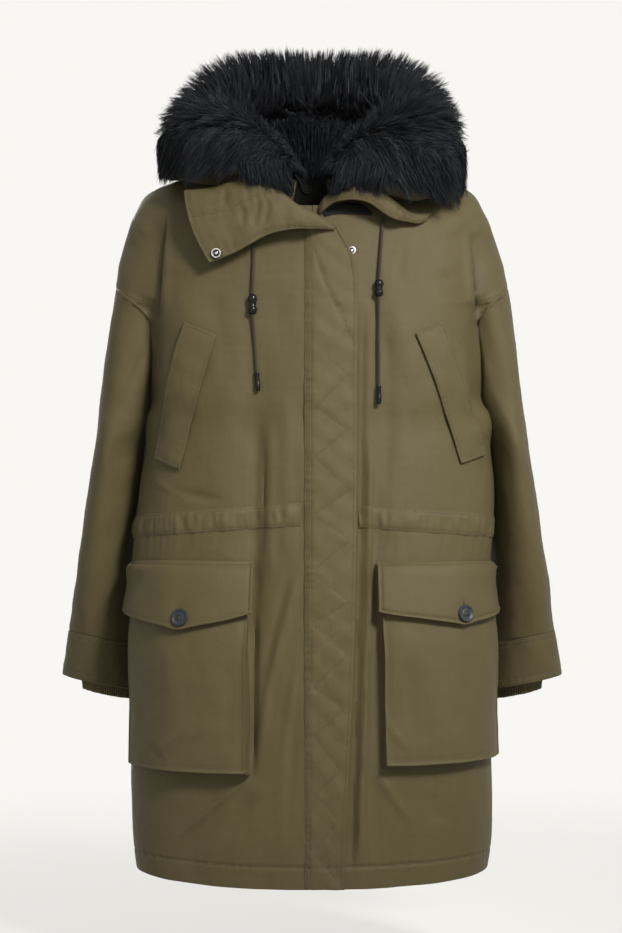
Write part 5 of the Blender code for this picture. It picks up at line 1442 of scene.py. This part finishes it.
def fur_material(name):
    material, tree, shader, place = shader_of(name)
    tone = node(tree, "ShaderNodeAttribute", attribute_name="tone").outputs["Fac"]
    middle = tuple((a + b) / 2 for a, b in zip(FUR_DARK, FUR_HIGHLIGHT))
    # Tones towards the light end paint highlights; the low ones are the fur's own colour.
    feed(tree, shader, {
        "Base Color": ramp(tree, tone, [(0.0, FUR_DARK), (0.72, middle), (1.0, FUR_HIGHLIGHT)]),
        "Roughness": maths(tree, "ADD", maths(tree, "MULTIPLY", noise(tree, place, 40.0, 2.0), 0.16), 0.50),
        "Specular IOR Level": 0.08,
        "Specular Tint": (0.86, 0.93, 1.0, 1.0),
    })
    return material


fur_black = fur_material("black fur")
roll = Sheet(capped_grid("hood_fur", 31), 0.005, 0.002, around=True)
roll_middle = roll.points.mean(axis=1)
roll_tree, hood_tree = tree_of([roll]), tree_of([hood])
hood_rows = hood_grid.shape[0] - 1
rng = np.random.default_rng(FUR_SEED)


def section_of(s):
    """The middle of the roll's section at places along it."""
    return read_line(s, roll.s, roll_middle)


def covered(points):
    """Which points lie against the hood's cloth."""
    return np.array([hood_tree.find_nearest(Vector(point), NEAR_CLOTH)[0] is not None for point in points])


def strewn(count):
    """Places strewn over the roll clear of the cloth: their points, normals and section middles."""
    s_at, t_at = rng.uniform(0, roll.length, count), rng.uniform(0, roll.width, count)
    surface, normal = roll.at(t_at, s_at)
    free = ~covered(surface)
    return surface[free], normal[free], section_of(s_at[free])


def uneven(size, count, ways=3):
    return rng.normal(0, size, (count, ways))


def between(low, high, count):
    return rng.uniform(low, high, (count, 1))


def flow_of(points, normals, middles):
    """The way the hair lies: up and out over the roll, level at the sides, down beside the neck."""
    out = unit((points - NECK) * (1, 1, 0.35))
    level = unit((middles - NECK) * LEVEL)
    over = unit(np.cross(np.cross(normals, level), normals) + 1e-6)
    flow = unit(0.45 * over + 0.65 * out + (0.0, -0.08, -0.10))
    inner = np.clip(0.5 - ((points - middles) * level).sum(axis=1) / 0.030, 0, 1)
    low = np.clip((0.105 - points[:, 2]) / 0.05, 0, 1)
    down = unit(np.stack([-0.30 * np.sign(points[:, 0]), 0 * low - 0.25, 0 * low - 1.0], axis=-1))
    weight = (inner * low)[:, None]
    return unit(flow * (1 - weight) + down * weight)


def hood_at(place, column):
    """The hood's own points at places down its rows."""
    low = np.clip(place.astype(int), 0, hood_rows - 1)
    share = (place - low)[:, None]
    return hood_grid[low, column] * (1 - share) + hood_grid[low + 1, column] * share


def from_ends(low, high, count):
    """Distances from the hood's two ends, by chance from one or the other, and which are from the left."""
    away = rng.uniform(low, high, count)
    return away, rng.random(count) < 0.5


core_s, core_t = np.meshgrid(
    np.linspace(0, roll.length, CORE_ROWS), np.arange(CORE_SIDES) / CORE_SIDES * roll.width, indexing="ij"
)
surface, normal = roll.at(core_t.ravel(), core_s.ravel())
middle = section_of(core_s.ravel())
core = middle + (surface - middle) * CORE_SHARE + normal * (0.0035 * ripple(surface, 0.03, 120))[:, None]
backing = wrapped("hood_fur_backing", core.reshape(CORE_ROWS, CORE_SIDES, 3), fur_black)
tone_attribute(backing.data, np.zeros(len(core)))
dress(backing, "black_fur", "hood_fur")

# The roll's own hair, gathered in locks.
surface, normal, middle = strewn(STRANDS)
count = len(surface)
flow = flow_of(surface, normal, middle)
lock_index = rng.choice(count, LOCKS, replace=False)
locks = KDTree(LOCKS)
for index, point in enumerate(surface[lock_index]):
    locks.insert(point, index)
locks.balance()
lock = np.array([locks.find(point)[1] for point in surface])
own = lock_index[lock]
lock_lift = rng.normal(0, 0.0030, LOCKS)[lock][:, None]
lock_sway = uneven(0.0040, LOCKS)[lock]
lock_tone_and_highlight = (rng.random(LOCKS) ** 2)[lock]
pull = between(0.30, 0.80, LOCKS)[lock]
guard = rng.random(count) < 0.10
high = np.clip((surface[:, 2] - 0.15) / 0.05, 0, 1) * np.clip(surface[:, 1] / 0.06, 0, 1)
upright = UPRIGHT * (high * np.clip(normal[:, 2] + 0.2, 0, 1))[:, None]
reach = upright + uneven(0.0016, count, 1) + 0.0030 * guard[:, None]
tip = surface + normal * (reach - 0.002) + Z_WAY * 0.4 * reach
lock_tip = surface[own] + normal[own] * (upright[own] + lock_lift) + lock_sway
tip = tip * (1 - pull) + lock_tip * pull + uneven(0.0013, count)
root = surface - flow * between(0.024, 0.036, count) - normal * 0.008
within = 0.66 * np.linalg.norm(surface - middle, axis=1, keepdims=True)
away = np.linalg.norm(root - middle, axis=1, keepdims=True)
root = middle + (root - middle) * np.minimum(1, within / away)
bend = root + (tip - root) * 0.45 + normal * 0.007 + uneven(0.0012, count)
width = rng.uniform(0.00038, 0.00070, count) * np.where(guard, 1.3, 1.0)
# Lighter locks, picked at random, and lighter guard hairs paint the highlights of the glossy fur.
tones_and_highlights = np.clip(lock_tone_and_highlight * 0.55 + rng.random(count) ** 3 * 0.45 + 0.2 * guard, 0, 1)
strands = [(root, bend, tip, width, tones_and_highlights)]

# Short hair that fills the roll between the locks.
surface, normal, middle = strewn(FILL)
root = middle + (surface - middle) * 0.55
tip = surface + uneven(0.006, len(surface)) - normal * 0.005
strands.append((root, (root + tip) / 2, tip, np.full(len(root), 0.0009), 0.25 * rng.random(len(root))))

# Hair that falls from the roll's lower front over the edge of the hood's cloth.
away, from_left = from_ends(0.2, 9.5, OVER)
place = np.where(from_left, hood_rows - away, away)
low = np.clip(place.astype(int), 0, hood_rows - 1)
edge = hood_at(place, -1)
along = unit(hood_grid[low + 1, -1] - hood_grid[low, -1]) * np.where(from_left, -1, 1)[:, None]
level = unit((edge - NECK) * LEVEL)
above = between(0.001, 0.046, OVER)
start = np.array([roll_tree.find_nearest(Vector(point))[0] for point in edge + level * 0.004 + Z_WAY * above])
fall = between(0.020, 0.034, OVER) + 0.008 * (edge[:, :1] > 0)
tuft = ripple(edge, 0.026, 131)[:, None]
aside = eased((away - 3.5) / 3.0)[:, None]
tip = edge + level * (between(0.003, 0.008, OVER) - 0.006 * aside)
tip += along * (0.020 + 0.006 * tuft + uneven(0.002, OVER, 1))
tip += Z_WAY * (above - fall * (1 - 0.35 * aside) - 0.006 * tuft) + uneven(0.0014, OVER)
bend = start * 0.5 + (start + tip) * 0.25 + level * (0.008 - 0.005 * aside) + uneven(0.0012, OVER)
root = start - level * 0.008 + Z_WAY * 0.004
tones_and_highlights = np.clip(0.3 * rng.random(OVER) + 0.2 * (tuft[:, 0] > 0.3), 0, 1)
strands.append((root, bend, tip, rng.uniform(0.0004, 0.0008, OVER), tones_and_highlights))

# Hair that hangs inside the neck from the roll's inner edge, over the hood's stand.
place = hood_rows / 2 + rng.uniform(-1, 1, HANG) * 12.0
stand_top, stand_low = hood_at(place, 1), hood_at(place, 0)
inward = -unit((stand_top - NECK) * LEVEL)
root = stand_top + inward * 0.003 + Z_WAY * between(-0.025, 0.035, HANG)
fall = between(0.020, 0.046, HANG) + 0.007 * ripple(stand_low, 0.018, 133)[:, None]
tip = root - Z_WAY * fall + inward * between(0.006, 0.020, HANG) + uneven(0.0035, HANG)
tip[:, 2] = np.maximum(tip[:, 2], stand_low[:, 2] - 0.016 + rng.normal(0, 0.004, HANG))
bend = (root + tip) / 2 + inward * 0.008 + uneven(0.002, HANG)
strands.append((root, bend, tip, rng.uniform(0.0004, 0.0008, HANG), 0.12 * rng.random(HANG) ** 2))

# Hair that falls from the roll's two ends in front of the hood's cloth, towards the opening.
away, from_left = from_ends(0.0, 2.2, FRINGE)
edge = hood_at(np.where(from_left, hood_rows - away, away), rng.integers(5, 9, FRINGE))
side = np.where(from_left, 1.0, -1.0)[:, None]
front, down = np.array(FORWARD), -Z_WAY
root = edge + front * 0.001 - down * between(0.004, 0.020, FRINGE)
tuft = ripple(edge, 0.016, 136)[:, None]
tip = edge + front * between(0.006, 0.011, FRINGE)
tip += down * (between(0.012, 0.030, FRINGE) + 0.005 * tuft)
tip[:, :1] -= side * (between(0.002, 0.014, FRINGE) + 0.003 * tuft)
bend = (root + tip) / 2 + front * 0.008 + uneven(0.0012, FRINGE)
fringe = (root, bend, tip, rng.uniform(0.0004, 0.0007, FRINGE), 0.3 * rng.random(FRINGE) ** 2)

# Hair that leans from the roll's two ends towards each other and down, beside the opening.
away, from_left = from_ends(0, 0.075, ENDS)
s_at = np.where(from_left, roll.length - away, away)
surface, normal = roll.at(rng.uniform(0, roll.width, ENDS), s_at)
middle = section_of(s_at)
side = np.where(from_left, 1.0, -1.0)[:, None]
lean_in = np.concatenate([-side * 0.55, side * 0 - 0.15, side * 0 - 0.85], axis=1)
tuft = ripple(surface, 0.022, 134)[:, None]
root = middle + (surface - middle) * 0.6
tip = surface + unit(lean_in) * (between(0.010, 0.026, ENDS) + 0.004 * tuft) + normal * 0.001
tip += uneven(0.0020, ENDS)
bend = root + (tip - root) * 0.45 + normal * 0.009
values = (root, bend, tip, rng.uniform(0.0004, 0.0007, ENDS), 0.5 * rng.random(ENDS) ** 2)
free = ~covered(surface)
strands += [tuple(value[free] for value in values), fringe]

# Hair is left out where it would pass through the hood's cloth, apart from that which falls over its edge.
passes = np.concatenate([np.full(len(group[0]), index in (2, 5)) for index, group in enumerate(strands)])
root, bend, tip, width, tones_and_highlights = (np.concatenate(values) for values in zip(*strands))
for index, (start, way) in enumerate(zip(root, tip - root)):
    ray = Vector(way)
    passes[index] |= hood_tree.ray_cast(Vector(start), ray.normalized(), ray.length)[0] is None
root, bend, tip, width, tones_and_highlights = (values[passes] for values in (root, bend, tip, width, tones_and_highlights))
HAIR_PARTS = 4
HAIR_STEPS = (0.0, 0.40, 0.75, 1.0)
curve = [root * (1 - k) ** 2 + bend * 2 * k * (1 - k) + tip * k * k for k in HAIR_STEPS]
spin = unit(np.cross(tip - root, rng.normal(size=root.shape) + (0.0, -1.2, 0.3)))
sides = []
for k, at in zip(HAIR_STEPS[:-1], curve):
    half = spin * (0.8 * width * (0.7 + 0.3 * (1 - abs(2 * k - 1))) * (1 - 0.6 * k**2))[:, None]
    sides += [at - half, at + half]
hair = np.stack([*sides, curve[-1]], axis=1)
each = hair.shape[1]
order = np.argsort(root[:, 0], kind="stable")
for part in range(HAIR_PARTS):
    chosen = order[part * len(order) // HAIR_PARTS : (part + 1) * len(order) // HAIR_PARTS]
    base = np.arange(len(chosen))[:, None] * each
    faces = [*(base + (0, 1, 3, 2)).tolist(), *(base + (2, 3, 5, 4)).tolist(), *(base + (4, 5, 6)).tolist()]
    obj = mesh_object(f"hood_fur_hair_{part}", hair[chosen].reshape(-1, 3), faces, (fur_black,))
    tone_attribute(obj.data, np.repeat(tones_and_highlights[chosen], each))
    dress(obj, "black_fur")

# ---------------------------------------------------------------- stitching as one piece

dress(mesh_object("stitching", stitched_points, stitched_faces, (thread,)), "olive_twill")

# ---------------------------------------------------------------- floor, light and camera

PALE = (0.940, 0.930, 0.895, 1.0)
FLOOR_Z, FLOOR_HALF = -1.06, 30.0


def area_light(name, place, target, size, power, spread=180):
    light = bpy.data.lights.new(name, "AREA")
    light.energy, light.size, light.spread = power, size, math.radians(spread)
    obj = bpy.data.objects.new(name, light)
    bpy.context.scene.collection.objects.link(obj)
    obj.location = place
    obj.rotation_mode = "QUATERNION"
    obj.rotation_quaternion = (Vector(target) - Vector(place)).to_track_quat("-Z", "Y")


scene = bpy.context.scene
world = bpy.data.worlds.new("studio")
scene.world = world
world.use_nodes = True
feed(world.node_tree, world.node_tree.nodes["Background"], {"Color": PALE, "Strength": 1.0})
scene.view_settings.view_transform = "Standard"

floor_material, tree, shader, place = shader_of("floor")
feed(tree, shader, {"Base Color": (0.40, 0.395, 0.380, 1.0), "Roughness": 0.9, "Specular IOR Level": 0.0})
glow = node(tree, "ShaderNodeEmission", {"Color": PALE}).outputs[0]
far = node(tree, "ShaderNodeVectorMath", {0: place}, operation="LENGTH").outputs["Value"]
fade = {"Value": far, "From Min": 0.7, "From Max": 2.6, "To Min": 0.62}
span = node(tree, "ShaderNodeMapRange", fade, interpolation_type="SMOOTHSTEP").outputs[0]
mix = node(tree, "ShaderNodeMixShader", {0: span, 1: shader.outputs[0], 2: glow}).outputs[0]
tree.links.new(mix, tree.nodes["Material Output"].inputs["Surface"])
corners = [(x * FLOOR_HALF, y * FLOOR_HALF, FLOOR_Z) for x, y in CORNERS]
floor = mesh_object("floor", corners, [(0, 1, 2, 3)], (floor_material,))


area_light("key", (1.5, -2.6, 1.6), (0.06, -0.05, -0.36), 0.8, 13.5, 35)
area_light("fill", (-1.4, -2.8, 0.4), (0, 0, -0.45), 2.0, 10)
area_light("rear", (-0.7, 3.1, 1.2), (0.0, 0.05, -0.30), 0.9, 9, 40)

camera_data = bpy.data.cameras.new("camera")
camera = bpy.data.objects.new("camera", camera_data)
scene.collection.objects.link(camera)
camera.location = (-0.0014, -4.0, -0.373)
camera.rotation_euler = (math.pi / 2, 0, 0)
camera_data.sensor_width = 36.0
camera_data.lens = 110.3
scene.camera = camera
